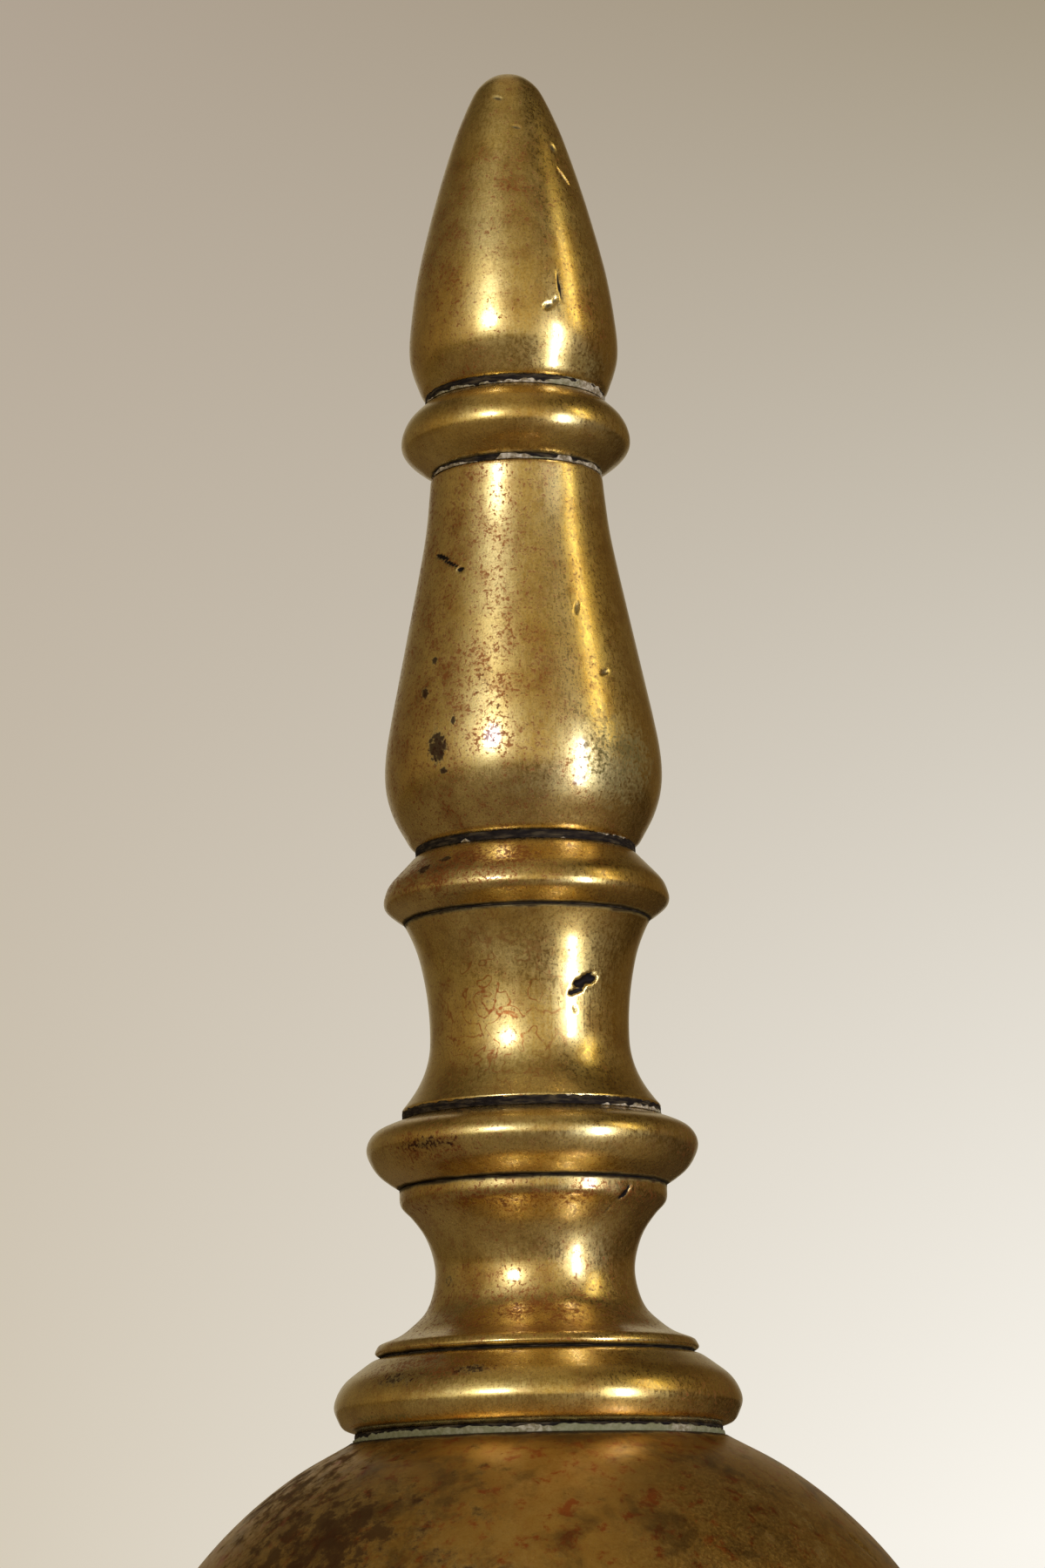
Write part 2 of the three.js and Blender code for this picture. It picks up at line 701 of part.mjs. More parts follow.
for (const [side, sign] of [["left", -1], ["right", 1]]) {
  const legMesh = piece(`leg_${side}`, leg(), patinatedBrass());
  legMesh.scale.x = sign;
  andiron.add(legMesh);
  const footMesh = piece(`foot_${side}`, ballFoot(), patinatedBrass());
  footMesh.position.set(sign * FOOT_X, FOOT_Y, 0);
  andiron.add(footMesh);
  const boltMesh = piece(`leg_bolt_${side}`, legBolt(), threadedIron());
  boltMesh.position.x = sign * BOLT_X;
  andiron.add(boltMesh);
}

andiron.add(piece("billet_bar", billetBar(), wroughtIron()));
andiron.add(piece("rear_leg", rearLeg(), wroughtIron()));

const logStop = new THREE.Group();
logStop.position.y = STOP_Y;
andiron.add(logStop);
logStop.add(piece("log_stop_base", stopBase(), patinatedBrass()));
logStop.add(piece("log_stop_ball", stopBall(), ballBrass()));
logStop.add(piece("log_stop_finial", stopFinial(), patinatedBrass()));
logStop.add(piece("log_stop_stud", stopStud(), threadedIron()));
const barBottomZ = BAR_TOP_Z - BAR_HEIGHT;
const stopWasher = washer(STUD_WASHER_RADIUS, STUD_BORE, barBottomZ - GAP);
logStop.add(piece("log_stop_washer", stopWasher, threadedIron()));
const stopNutTop = barBottomZ - WASHER_HEIGHT - 2 * GAP;
const stopNut = squareNut(STUD_NUT_ACROSS, STUD_BORE, stopNutTop);
logStop.add(piece("log_stop_nut", stopNut, threadedIron()));

export default andiron;
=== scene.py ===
"""The looks of the andiron: old turned brass, forged iron, a plain studio and the camera.

Metres, +Z up. The brass front faces -Y. Azimuths are in degrees round the column, 0 at the
front and positive towards +X. Heights of marks are in millimetres over the ball's centre.
"""

import math
from typing import NamedTuple

import bmesh
import bpy
import numpy as np
from mathutils import Matrix, Vector, noise


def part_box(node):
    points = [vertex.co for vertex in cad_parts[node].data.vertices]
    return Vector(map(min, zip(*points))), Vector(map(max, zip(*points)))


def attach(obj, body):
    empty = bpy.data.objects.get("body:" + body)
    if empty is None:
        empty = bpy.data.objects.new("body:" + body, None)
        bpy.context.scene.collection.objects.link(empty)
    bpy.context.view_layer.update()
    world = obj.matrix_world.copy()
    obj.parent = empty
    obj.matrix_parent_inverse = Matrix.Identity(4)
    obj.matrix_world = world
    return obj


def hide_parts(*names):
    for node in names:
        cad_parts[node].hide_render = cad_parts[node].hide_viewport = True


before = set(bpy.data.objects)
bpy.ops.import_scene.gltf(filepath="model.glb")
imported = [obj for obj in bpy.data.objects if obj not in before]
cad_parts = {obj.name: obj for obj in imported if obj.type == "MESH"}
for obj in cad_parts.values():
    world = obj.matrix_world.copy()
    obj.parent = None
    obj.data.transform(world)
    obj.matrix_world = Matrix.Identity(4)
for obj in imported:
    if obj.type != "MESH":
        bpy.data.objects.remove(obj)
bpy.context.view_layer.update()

MM = 0.001

# ---------- Places taken from the frame ----------

ball_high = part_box("ball_upper_shell")
COLUMN_Y = (ball_high[0].y + ball_high[1].y) / 2
UPPER_HALF_RISE = 0.15 * MM  # of the upper half's lowest edge over the ball's centre
BALL_Z = ball_high[0].z - UPPER_HALF_RISE
STOP_Y = sum(c.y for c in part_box("log_stop_ball")) / 2
ROD_BORE = 5.1 * MM
STUD_BORE = 3.55 * MM
INCH = 25.4 * MM

# ---------- The camera, as fitted to the photograph ----------

CAMERA_DISTANCE = 638.47 * MM  # from the column's axis
CAMERA_RISE = 29.475 * MM  # over the ball's centre
CAMERA_ASIDE = -0.18 * MM
CAMERA_PITCH = 10.95  # degrees, upwards
CAMERA_ROLL = -1.346
CAMERA_LENS = 101.6  # on a sensor 36 mm along the picture's long side


def linked(name, data):
    """A new object in the scene."""
    made = bpy.data.objects.new(name, data)
    bpy.context.scene.collection.objects.link(made)
    return made


def make_camera():
    data = bpy.data.cameras.new("camera")
    data.lens = CAMERA_LENS
    data.sensor_width = 36
    camera = linked("camera", data)
    place = Matrix.Translation((CAMERA_ASIDE, COLUMN_Y - CAMERA_DISTANCE, BALL_Z + CAMERA_RISE))
    tilt = Matrix.Rotation(math.radians(90 + CAMERA_PITCH), 4, "X")
    roll = Matrix.Rotation(math.radians(CAMERA_ROLL), 4, "Z")
    camera.matrix_world = place @ tilt @ roll
    bpy.context.scene.camera = camera


# ---------- Node helpers ----------


def add(tree, kind, inputs=None, **settings):
    """A node with its settings, whose inputs are values or other nodes' outputs."""
    node = tree.nodes.new(kind)
    for key, value in settings.items():
        setattr(node, key, value)
    for key, value in (inputs or {}).items():
        if isinstance(value, bpy.types.NodeSocket):
            tree.links.new(value, node.inputs[key])
        else:
            node.inputs[key].default_value = value
    return node


def maths(tree, operation, a, b=0.0, clamp=False):
    return add(tree, "ShaderNodeMath", {0: a, 1: b}, operation=operation, use_clamp=clamp).outputs[0]


def times(tree, a, b, clamp=False):
    return maths(tree, "MULTIPLY", a, b, clamp)


def plus(tree, a, b):
    return maths(tree, "ADD", a, b)


def minus(tree, a, b):
    return maths(tree, "SUBTRACT", a, b)


def ramp(tree, value, low, high, to_low=0.0, to_high=1.0):
    """A smooth step from one value to another."""
    inputs = {"Value": value, "From Min": low, "From Max": high, "To Min": to_low, "To Max": to_high}
    node = add(tree, "ShaderNodeMapRange", inputs, interpolation_type="SMOOTHSTEP")
    return node.outputs[0]


def mix(tree, factor, a, b, blend="MIX"):
    """Colour a where the factor is 0 and b where it is 1; another blend works that much of b into a."""
    # sockets 0, 6, 7 and 2 are a colour mix's factor, two colours and result
    node = add(tree, "ShaderNodeMix", {0: factor, 6: a, 7: b}, data_type="RGBA", blend_type=blend)
    return node.outputs[2]


def speckle(tree, place, scale, detail=2.0, roughness=0.5, distortion=0.0, offset=0.0):
    """A noise in cells of about 1 / scale millimetres."""
    moved = add(tree, "ShaderNodeVectorMath", {0: place, 1: (offset, offset * 0.7, offset * 1.3)})
    inputs = {
        "Vector": moved.outputs[0],
        "Scale": scale,
        "Detail": detail,
        "Roughness": roughness,
        "Distortion": distortion,
    }
    return add(tree, "ShaderNodeTexNoise", inputs).outputs[0]


def linear(red, green, blue):
    """A colour given as it looks on a screen, from 0 to 255."""
    return (*((c / 255) ** 2.2 for c in (red, green, blue)), 1.0)


# ---------- Materials ----------

BRASS = linear(233, 208, 129)
BRASS_WARM = linear(220, 184, 93)
BRASS_BROWN = linear(167, 124, 56)
STAIN_EDGE = linear(158, 82, 26)
BRASS_DARK = linear(130, 104, 50)
BALL_BROWN = linear(174, 130, 54)
BALL_RED = linear(162, 78, 24)
BALL_DARK = linear(62, 38, 16)
PATINA_RED = linear(134, 74, 28)
SPECK = linear(48, 27, 13)
PIT = linear(34, 27, 20)
VERDIGRIS = linear(116, 114, 74)
VERDIGRIS_DARK = linear(74, 68, 22)
RESIDUE = linear(190, 174, 138)
RESIDUE_DULL = linear(118, 102, 70)
GRIME = linear(28, 21, 13)
GRIME_PALE = linear(76, 64, 42)
IRON = linear(98, 86, 70)
IRON_DARK = linear(50, 43, 35)
RUST = linear(118, 68, 36)


def new_material(name):
    material = bpy.data.materials.new(name)
    material.use_nodes = True
    tree = material.node_tree
    tree.nodes.clear()
    shader = tree.nodes.new("ShaderNodeBsdfPrincipled")
    out = tree.nodes.new("ShaderNodeOutputMaterial")
    tree.links.new(shader.outputs[0], out.inputs[0])
    return material, tree, shader


def in_millimetres(tree, squash=(1.0, 1.0, 1.0)):
    coordinates = add(tree, "ShaderNodeTexCoord").outputs["Object"]
    factor = tuple(1000.0 * s for s in squash)
    return add(tree, "ShaderNodeVectorMath", {0: coordinates, 1: factor}, operation="MULTIPLY").outputs[0]


def add_bump(tree, shader, strength, distance, height):
    bump = add(tree, "ShaderNodeBump", {"Strength": strength, "Distance": distance, "Height": height})
    tree.links.new(bump.outputs[0], shader.inputs["Normal"])


def attribute(tree, name):
    return add(tree, "ShaderNodeAttribute", None, attribute_name=name).outputs["Fac"]


def brass(name, brownness=0.0):
    """Old brass: satin metal under a thin uneven patina, with freckles, pits and dried stains."""
    material, tree, shader = new_material(name)
    place = in_millimetres(tree)
    broad = speckle(tree, place, 0.05, 3, 0.55, 0.4)
    middle = speckle(tree, place, 0.24, 5, 0.65, 0.3, 11)
    fine = speckle(tree, place, 1.9, 4, 0.65, 0.2, 23)
    grain = speckle(tree, place, 3.4, 3, 0.65, 0.0, 37)
    crowd = attribute(tree, "crowd")
    tangle = times(tree, ramp(tree, middle, 0.3, 0.7, 0.65, 1.3), crowd)

    colour = mix(tree, ramp(tree, broad, 0.38, 0.66, 0.0, 0.8), BRASS, BRASS_WARM)
    brown_level = ramp(tree, middle, 0.42 - 0.1 * brownness, 0.78, 0.0, 0.6 + 0.3 * brownness)
    colour = mix(tree, brown_level, colour, BRASS_BROWN)
    colour = mix(tree, times(tree, tangle, 0.2, True), colour, PATINA_RED)
    colour = mix(tree, ramp(tree, grain, 0.42, 0.72, 0.0, 0.5), colour, BRASS_DARK)
    if brownness:
        colour = mix(tree, brownness, colour, BALL_BROWN)
        rust = ramp(tree, speckle(tree, place, 0.36, 6, 0.68, 0.3, 131), 0.52, 0.66, 0.0, 0.85)
        colour = mix(tree, rust, colour, BALL_RED)
        shade = ramp(tree, speckle(tree, place, 0.12, 6, 0.68, 0.3, 151), 0.46, 0.68, 0.0, 0.6)
        colour = mix(tree, shade, colour, BALL_DARK)

    # the edges of dried stains: thin closed lines
    field = speckle(tree, place, 0.34, 1, 0.4, 0.7, 53)
    contour = maths(tree, "ABSOLUTE", minus(tree, field, 0.56))
    line = times(tree, ramp(tree, contour, 0.008, 0.03, 1.0, 0.0), attribute(tree, "lines"))
    broken = ramp(tree, fine, 0.36, 0.5)
    colour = mix(tree, times(tree, line, broken), colour, STAIN_EDGE)

    # freckles and tiny pits, thick where the piece is crowded
    least = minus(tree, 0.68, times(tree, tangle, 0.12))
    freckle = ramp(tree, minus(tree, fine, least), 0.0, 0.07, 0.0, 0.85)
    colour = mix(tree, freckle, colour, PATINA_RED)
    least = minus(tree, 0.735, times(tree, tangle, 0.08))
    dot = ramp(tree, minus(tree, grain, least), 0.0, 0.06, 0.0, 0.7)
    colour = mix(tree, dot, colour, SPECK)

    # stains: ragged and crisp on the finial, soft and cloudy on the ball
    if brownness:
        spread = times(tree, minus(tree, speckle(tree, place, 0.34, 6, 0.72), 0.5), 3.6)
        stain = ramp(tree, plus(tree, attribute(tree, "stain"), spread), 0.25, 1.05, 0.0, 0.9)
    else:
        spread = times(tree, minus(tree, fine, 0.5), 1.5)
        stain = ramp(tree, plus(tree, attribute(tree, "stain"), spread), 0.3, 0.62, 0.0, 0.92)
    colour = mix(tree, stain, colour, BALL_DARK if brownness else SPECK)
    dirt = times(tree, minus(tree, middle, 0.5), 1.1)
    dirt = ramp(tree, plus(tree, attribute(tree, "dirt"), dirt), 0.3, 0.9, 0.0, 0.9)
    colour = mix(tree, dirt, colour, PIT)
    pit = ramp(tree, attribute(tree, "pit"), 0.08, 0.4)
    colour = mix(tree, pit, colour, PIT)
    clots = ramp(tree, plus(tree, fine, times(tree, middle, 0.5)), 0.66, 0.86, 0.12, 0.8)
    green = times(tree, ramp(tree, attribute(tree, "green"), 0.1, 0.8), clots)
    colour = mix(tree, green, colour, VERDIGRIS_DARK)

    dull = times(tree, freckle, 0.6)
    for layer in (dot, stain, dirt, pit, green):
        dull = maths(tree, "MAXIMUM", dull, layer)
    tree.links.new(colour, shader.inputs["Base Color"])
    tree.links.new(ramp(tree, dull, 0.0, 1.0, 1.0, 0.55), shader.inputs["Metallic"])
    shader.inputs["Specular IOR Level"].default_value = 0.2
    hairs = speckle(tree, in_millimetres(tree, (1.0, 1.0, 0.06)), 3.0, 3, 0.6, 0.0, 71)  # polishing scratches
    micro = plus(tree, times(tree, fine, 0.6), times(tree, hairs, 0.4))
    satin = ramp(tree, micro, 0.36, 0.62, 0.23 + 0.12 * brownness, 0.38 + 0.14 * brownness)
    worn = plus(tree, satin, times(tree, dull, 0.3))
    tree.links.new(worn, shader.inputs["Roughness"])
    # a thin film of wax, gone where the metal is dull
    tree.links.new(ramp(tree, dull, 0.0, 0.8, 0.75 - 0.5 * brownness, 0.0), shader.inputs["Coat Weight"])
    shader.inputs["Coat Roughness"].default_value = 0.13 + 0.2 * brownness

    # lathe marks run round the piece; freckles and pits stand a little below the metal
    rings = in_millimetres(tree, (0.015, 0.015, 1.0))
    height = times(tree, speckle(tree, rings, 2.6, 3, 0.7), 0.4)
    height = plus(tree, height, times(tree, grain, 0.1))
    height = plus(tree, height, times(tree, hairs, 0.12))
    height = minus(tree, height, times(tree, dull, 0.5))
    add_bump(tree, shader, 0.25, 0.00008, height)
    return material


def iron(name, rustiness=0.3):
    """Forged iron, black from the fire, with rust in its hollows."""
    material, tree, shader = new_material(name)
    place = in_millimetres(tree)
    broad = speckle(tree, place, 0.05, 4, 0.6)
    fine = speckle(tree, place, 0.7, 5, 0.7, 0.2, 13)
    colour = mix(tree, ramp(tree, broad, 0.35, 0.65), IRON_DARK, IRON)
    rust = ramp(tree, speckle(tree, place, 0.14, 5, 0.7, 0.5, 29), 0.58 - 0.2 * rustiness, 0.74)
    colour = mix(tree, times(tree, rust, 0.8), colour, RUST)
    colour = mix(tree, ramp(tree, fine, 0.55, 0.75, 0.0, 0.5), colour, IRON_DARK)
    tree.links.new(colour, shader.inputs["Base Color"])
    tree.links.new(ramp(tree, rust, 0.0, 1.0, 0.55, 0.05), shader.inputs["Metallic"])
    tree.links.new(ramp(tree, fine, 0.3, 0.7, 0.4, 0.68), shader.inputs["Roughness"])
    height = plus(tree, fine, times(tree, broad, 2.0))
    add_bump(tree, shader, 0.6, 0.0003, height)
    return material


def seam_filling(name, greenness=0.0):
    """Black grime with broken flakes of dried polish, a little green in places."""
    material, tree, shader = new_material(name)
    place = in_millimetres(tree)
    fine = speckle(tree, place, 1.4, 4, 0.7)
    flake = attribute(tree, "flake")
    cream = mix(tree, ramp(tree, fine, 0.38, 0.6), RESIDUE, RESIDUE_DULL)
    patches = speckle(tree, place, 0.09, 2, 0.5, 0.0, 17)
    green = ramp(tree, patches, 0.52 - 0.3 * greenness, 0.66 - 0.2 * greenness, 0.0, 0.85)
    cream = mix(tree, green, cream, VERDIGRIS)
    streaks = speckle(tree, in_millimetres(tree, (0.25, 0.25, 1.6)), 1.6, 3, 0.6, 0.2, 41)
    grime = mix(tree, ramp(tree, streaks, 0.42, 0.72), GRIME, GRIME_PALE)
    colour = mix(tree, ramp(tree, flake, 0.35, 0.65), grime, cream)
    tree.links.new(colour, shader.inputs["Base Color"])
    shader.inputs["Roughness"].default_value = 0.8
    shader.inputs["Specular IOR Level"].default_value = 0.15
    add_bump(tree, shader, 0.5, 0.0002, fine)
    return material


# ---------- Turned pieces ----------


def meridian(node, centre):
    """The node's section as [(radius, height)], from its lower end up the outside, and whether it closes."""
    axis_x, axis_y = centre
    mesh = bmesh.new()
    mesh.from_mesh(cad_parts[node].data)
    bmesh.ops.remove_doubles(mesh, verts=mesh.verts, dist=2e-6)
    on_plane = {v for v in mesh.verts if abs(v.co.y - axis_y) < 5e-6 and v.co.x > axis_x - 5e-6}
    links = {v: [e.other_vert(v) for e in v.link_edges if e.other_vert(v) in on_plane] for v in on_plane}
    start = max(on_plane, key=lambda v: v.co.x)

    def walk(first):
        path, last, here = [], start, first
        while here is not start:
            path.append(here)
            onward = [v for v in links[here] if v is not last]
            if not onward:
                return path, False
            last, here = here, onward[0]
        return path, True

    ways = [walk(v) for v in links[start]]
    closed = ways[0][1]
    if closed:
        path = [start, *ways[0][0]]
        if path[1].co.z < path[-1].co.z:
            path = [start, *reversed(path[1:])]
    else:
        low, high = sorted((w[0] for w in ways), key=lambda p: p[-1].co.z)
        path = [*reversed(low), start, *high]
    points = [(max(v.co.x - axis_x, 0.0), v.co.z) for v in path]
    mesh.free()
    if not closed:
        # a flat end has no vertex on the axis
        if points[0][0] > 1e-5:
            points.insert(0, (0.0, points[0][1]))
        if points[-1][0] > 1e-5:
            points.append((0.0, points[-1][1]))
    return points, closed


def outer_run(points, closed, bore):
    """(the outside from bottom to top, the rest of the section from the top back to the bottom)."""
    if closed:
        up = 0
        while points[up][0] > bore * 1.02:
            up += 1
        down = len(points)
        while points[down - 1][0] > bore * 1.02:
            down -= 1
        outside = [*points[down:], *points[:up]]
        inside = points[up:down]
        return outside, inside
    start = max(i for i, p in enumerate(points) if p[0] <= bore * 1.02 + 1e-6 and i < len(points) / 2)
    return points[start + 1 :], points[: start + 1]


# the fine outline of each turned piece, for what fills the seams between them
OUTLINES = {}


def refined(points, step, crisp=38.0, wear=0.25 * MM):
    """The outline as a fine smooth curve between its crisp corners, with the corners worn round."""
    p = np.array(points)
    ahead = np.diff(p, axis=0)
    heading = np.degrees(np.arctan2(ahead[:, 1], ahead[:, 0]))
    turn = np.abs((np.diff(heading) + 180) % 360 - 180)
    corners = [0, *(np.nonzero(turn > crisp)[0] + 1), len(p) - 1]
    finer = step / 3
    runs = []
    for a, b in zip(corners[:-1], corners[1:]):
        runs.append(through(p[a : b + 1], finer)[:-1])
    fine = np.vstack([*runs, p[-1:]])
    reach = int(math.ceil(3 * wear / finer))
    weights = np.exp(-0.5 * (np.arange(-reach, reach + 1) * finer / wear) ** 2)
    weights /= weights.sum()
    padded = np.vstack([2 * fine[0] - fine[reach:0:-1], fine, 2 * fine[-1] - fine[-2 : -reach - 2 : -1]])
    smooth = np.stack([np.convolve(padded[:, k], weights, "valid") for k in (0, 1)], axis=1)
    smooth[0], smooth[-1] = fine[0], fine[-1]
    along = np.concatenate([[0], np.cumsum(np.linalg.norm(np.diff(smooth, axis=0), axis=1))])
    count = max(4, int(along[-1] / step))
    at = np.linspace(0, along[-1], count + 1)
    return np.stack([np.interp(at, along, smooth[:, k]) for k in (0, 1)], axis=1)


def between(t, ta, a, tb, b):
    return (tb - t) / (tb - ta) * a + (t - ta) / (tb - ta) * b


def through(points, step):
    """A centripetal curve through the points, in steps of about the given length."""
    if len(points) < 3:
        count = max(1, int(np.linalg.norm(points[-1] - points[0]) / step))
        return np.linspace(points[0], points[-1], count + 1)
    ends = np.vstack([2 * points[0] - points[1], points, 2 * points[-1] - points[-2]])
    out = []
    for i in range(len(points) - 1):
        a, b, c, d = ends[i : i + 4]
        ta = 0.0
        tb = ta + np.linalg.norm(b - a) ** 0.5
        tc = tb + np.linalg.norm(c - b) ** 0.5
        td = tc + np.linalg.norm(d - c) ** 0.5
        count = max(2, int(np.linalg.norm(c - b) / step))
        t = np.linspace(tb, tc, count, endpoint=False)[:, None]
        ab, bc, cd = between(t, ta, a, tb, b), between(t, tb, b, tc, c), between(t, tc, c, td, d)
        abc, bcd = between(t, ta, ab, tc, bc), between(t, tb, bc, td, cd)
        out.append(between(t, tb, abc, tc, bcd))
    return np.vstack([*out, points[-1:]])


class Mark(NamedTuple):
    """A nick, pit, stain, green patch, or a crowd of freckles or stain lines, on a turned piece.

    length runs level round the piece and width up it, turned by tilt in degrees, and grain is the size
    of its ragged edge, all in millimetres. depth is in millimetres for a nick or pit, and otherwise the
    mark's strength.
    """

    kind: str
    azimuth: float
    height: float
    length: float
    width: float
    depth: float = 1.0
    tilt: float = 0
    grain: float = 0.8


def mark_shape(mark, azimuth, height, radius):
    """0 outside the mark, rising to 1 in its middle, and the distance from it in its own half widths."""
    across = np.radians((azimuth - mark.azimuth + 180) % 360 - 180) * radius / MM
    up = height - mark.height
    c, s = math.cos(math.radians(mark.tilt)), math.sin(math.radians(mark.tilt))
    long_way = (across * c + up * s) / (mark.length / 2)
    short_way = (-across * s + up * c) / (mark.width / 2)
    away = np.sqrt(long_way**2 + short_way**2)
    return np.clip(1 - away**2, 0, 1), away


def wander(azimuth, height, radius, size, seed):
    """Slow unevenness, from -1 to 1, over the surface of a turned piece."""
    x = radius * np.sin(np.radians(azimuth)) / (size * MM)
    y = radius * np.cos(np.radians(azimuth)) / (size * MM)
    z = height / size + seed
    flat = zip(x.ravel(), y.ravel(), z.ravel())
    return np.array([noise.noise(v) for v in flat]).reshape(x.shape)


# how a turned piece is worn; lengths in millimetres
LONG_WAVE = (9.0, 3.1)  # size and seed of its unevenness
SHORT_WAVE = (2.5, 7.7)
SHORT_SHARE = 0.4
KNOCK_BOWL = 0.75  # below 1, a knock has a flatter floor
LIP_HEIGHT = 0.05  # of the metal pushed up round a knock, in its depths
LIP_PLACE = 1.25  # in the knock's half widths
LIP_SPREAD = 0.05
HOLLOW_FROM, HOLLOW_RANGE = 0.06, 0.3  # bend per millimetre where dirt gathers
TRUE_EDGE = 0.4  # near its ends a piece keeps its section


def turned(name, node, material, body, slot, step=0.3, sides=400, marks=(), centre=(0.0, COLUMN_Y),
           bore=ROD_BORE, uneven=0.03, dirt_reach=0.9, crowd=0.25, lines=0.15, grooves=0.0):
    """A turned piece from its CAD node's own section, spun finely, with its marks in the metal.

    crowd and lines say how thick its freckles and stain lines are, dirt_reach how far dirt comes in
    from its ends, and grooves how dark the dirt in its hollows is.
    """
    points, closed = meridian(node, centre)
    outside, inside = outer_run(points, closed, bore)
    fine = refined(outside, step * MM)
    OUTLINES[node] = fine
    azimuth = np.arange(sides) * 360 / sides
    r = fine[:, :1] * np.ones((1, sides))
    z = fine[:, 1:] * np.ones((1, sides))
    a = np.ones((len(fine), 1)) * azimuth
    height = (z - BALL_Z) / MM
    tangent = np.gradient(fine, axis=0)
    tangent /= np.linalg.norm(tangent, axis=1)[:, None] + 1e-12
    out_r, out_z = tangent[:, 1:2], -tangent[:, 0:1]
    push = -uneven * (0.5 + 0.5 * wander(a, height, r, *LONG_WAVE))
    push -= SHORT_SHARE * uneven * (0.5 + 0.5 * wander(a, height, r, *SHORT_WAVE))
    layers = {k: np.zeros_like(r) for k in ("stain", "dirt", "pit", "green")}
    layers["crowd"] = np.full_like(r, crowd)
    layers["lines"] = np.full_like(r, lines)
    for mark in (Mark(*row) for row in marks):
        shape, away = mark_shape(mark, a, height, r)
        if mark.kind in ("crowd", "lines"):
            layers[mark.kind] += mark.depth * np.exp(-(away**2))
            continue
        ragged = 0.35 * wander(a, height, r, mark.grain, mark.azimuth)
        if mark.kind in ("stain", "green"):
            soft = np.clip(1.25 - away + ragged, 0, 1) * mark.depth
            layers[mark.kind] = np.maximum(layers[mark.kind], soft)
            continue
        worn = shape
        if mark.kind == "pit":
            worn = np.clip(shape + 3 * min(1, mark.width) ** 2 * ragged * (shape > 0), 0, 1)
        push -= mark.depth * worn**KNOCK_BOWL
        push += LIP_HEIGHT * mark.depth * np.exp(-((away - LIP_PLACE) ** 2) / LIP_SPREAD)
        layers["pit"] = np.maximum(layers["pit"], worn * (1.0 if mark.kind == "pit" else 0.35))
    # dirt gathers at the crisp ends of the piece
    along = np.concatenate([[0], np.cumsum(np.linalg.norm(np.diff(fine, axis=0), axis=1))]) / MM
    has_apex = fine[-1, 0] < 1e-6
    ends = [along] if has_apex else [along, along[-1] - along]
    for distance in ends:
        layers["dirt"] = np.maximum(layers["dirt"], np.clip(1 - distance / dirt_reach, 0, 1)[:, None])
    if grooves:
        bend = (np.gradient(tangent, axis=0) * np.hstack([out_r, out_z])).sum(axis=1) / np.gradient(along)
        hollow = np.clip((bend[:, None] - HOLLOW_FROM) / HOLLOW_RANGE, 0, 1)
        layers["dirt"] = np.maximum(layers["dirt"], grooves * hollow)
    edge = np.clip(np.minimum.reduce([along, *ends]) / TRUE_EDGE, 0, 1)[:, None]
    r = np.maximum(r + push * MM * out_r * edge, 0)
    z = z + push * MM * out_z * edge
    mesh = spin(name, r, z, azimuth, layers, inside, closed, centre)
    return finish_piece(name, mesh, material, body, [node])


def spin(name, r, z, azimuth, layers, inside, closed, centre):
    """A mesh of the rings given by r and z, closed through the section's inner points or at its two ends."""
    sides = len(azimuth)
    top_z = float(z[-1].mean())
    if not closed:
        r, z = r[:-1], z[:-1]
    inner = [(np.full(sides, p[0]), np.full(sides, p[1])) for p in inside]
    outer = [*zip(r, z)]
    rows = outer + inner if closed else inner[1:] + outer
    s, c = np.sin(np.radians(azimuth)), np.cos(np.radians(azimuth))
    grid = np.array([np.stack([centre[0] + rr * s, centre[1] - rr * c, zz], axis=1) for rr, zz in rows])
    count = len(rows)
    verts = grid.reshape(-1, 3)
    i = np.arange(count if closed else count - 1)[:, None]
    j = np.arange(sides)[None, :]
    j2, i2 = (j + 1) % sides, (i + 1) % count
    faces = np.stack([i * sides + j, i * sides + j2, i2 * sides + j2, i2 * sides + j], axis=-1).reshape(-1, 4)
    faces = faces.tolist()
    if not closed:
        verts = np.vstack([verts, [[*centre, inside[0][1]], [*centre, top_z]]])
        low, high = len(verts) - 2, len(verts) - 1
        last = (count - 1) * sides
        faces += [[low, (k + 1) % sides, k] for k in range(sides)]
        faces += [[high, last + k, last + (k + 1) % sides] for k in range(sides)]
    mesh = bpy.data.meshes.new(name)
    mesh.from_pydata(verts.tolist(), [], faces)
    mesh.update()
    first = 0 if closed else (len(inner) - 1) * sides
    for key, layer in layers.items():
        values = np.zeros(len(verts), np.float32)
        part = layer[: len(r)].ravel()
        values[first : first + len(part)] = part
        mesh.attributes.new(key, "FLOAT", "POINT").data.foreach_set("value", values)
    mesh.polygons.foreach_set("use_smooth", [True] * len(mesh.polygons))
    return mesh


def finish_piece(name, mesh, material, body, nodes):
    mesh.materials.clear()
    mesh.materials.append(material)
    piece = linked(name, mesh)
    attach(piece, body)
    if nodes:
        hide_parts(*nodes)
    return piece


# ---------- What fills the seams ----------


def near_seam(outline):
    """The outline from its first point outwards, as radii that rise and their heights."""
    count = 1
    while outline[count, 0] > outline[count - 1, 0]:
        count += 1
    return outline[:count, 0], outline[:count, 1]


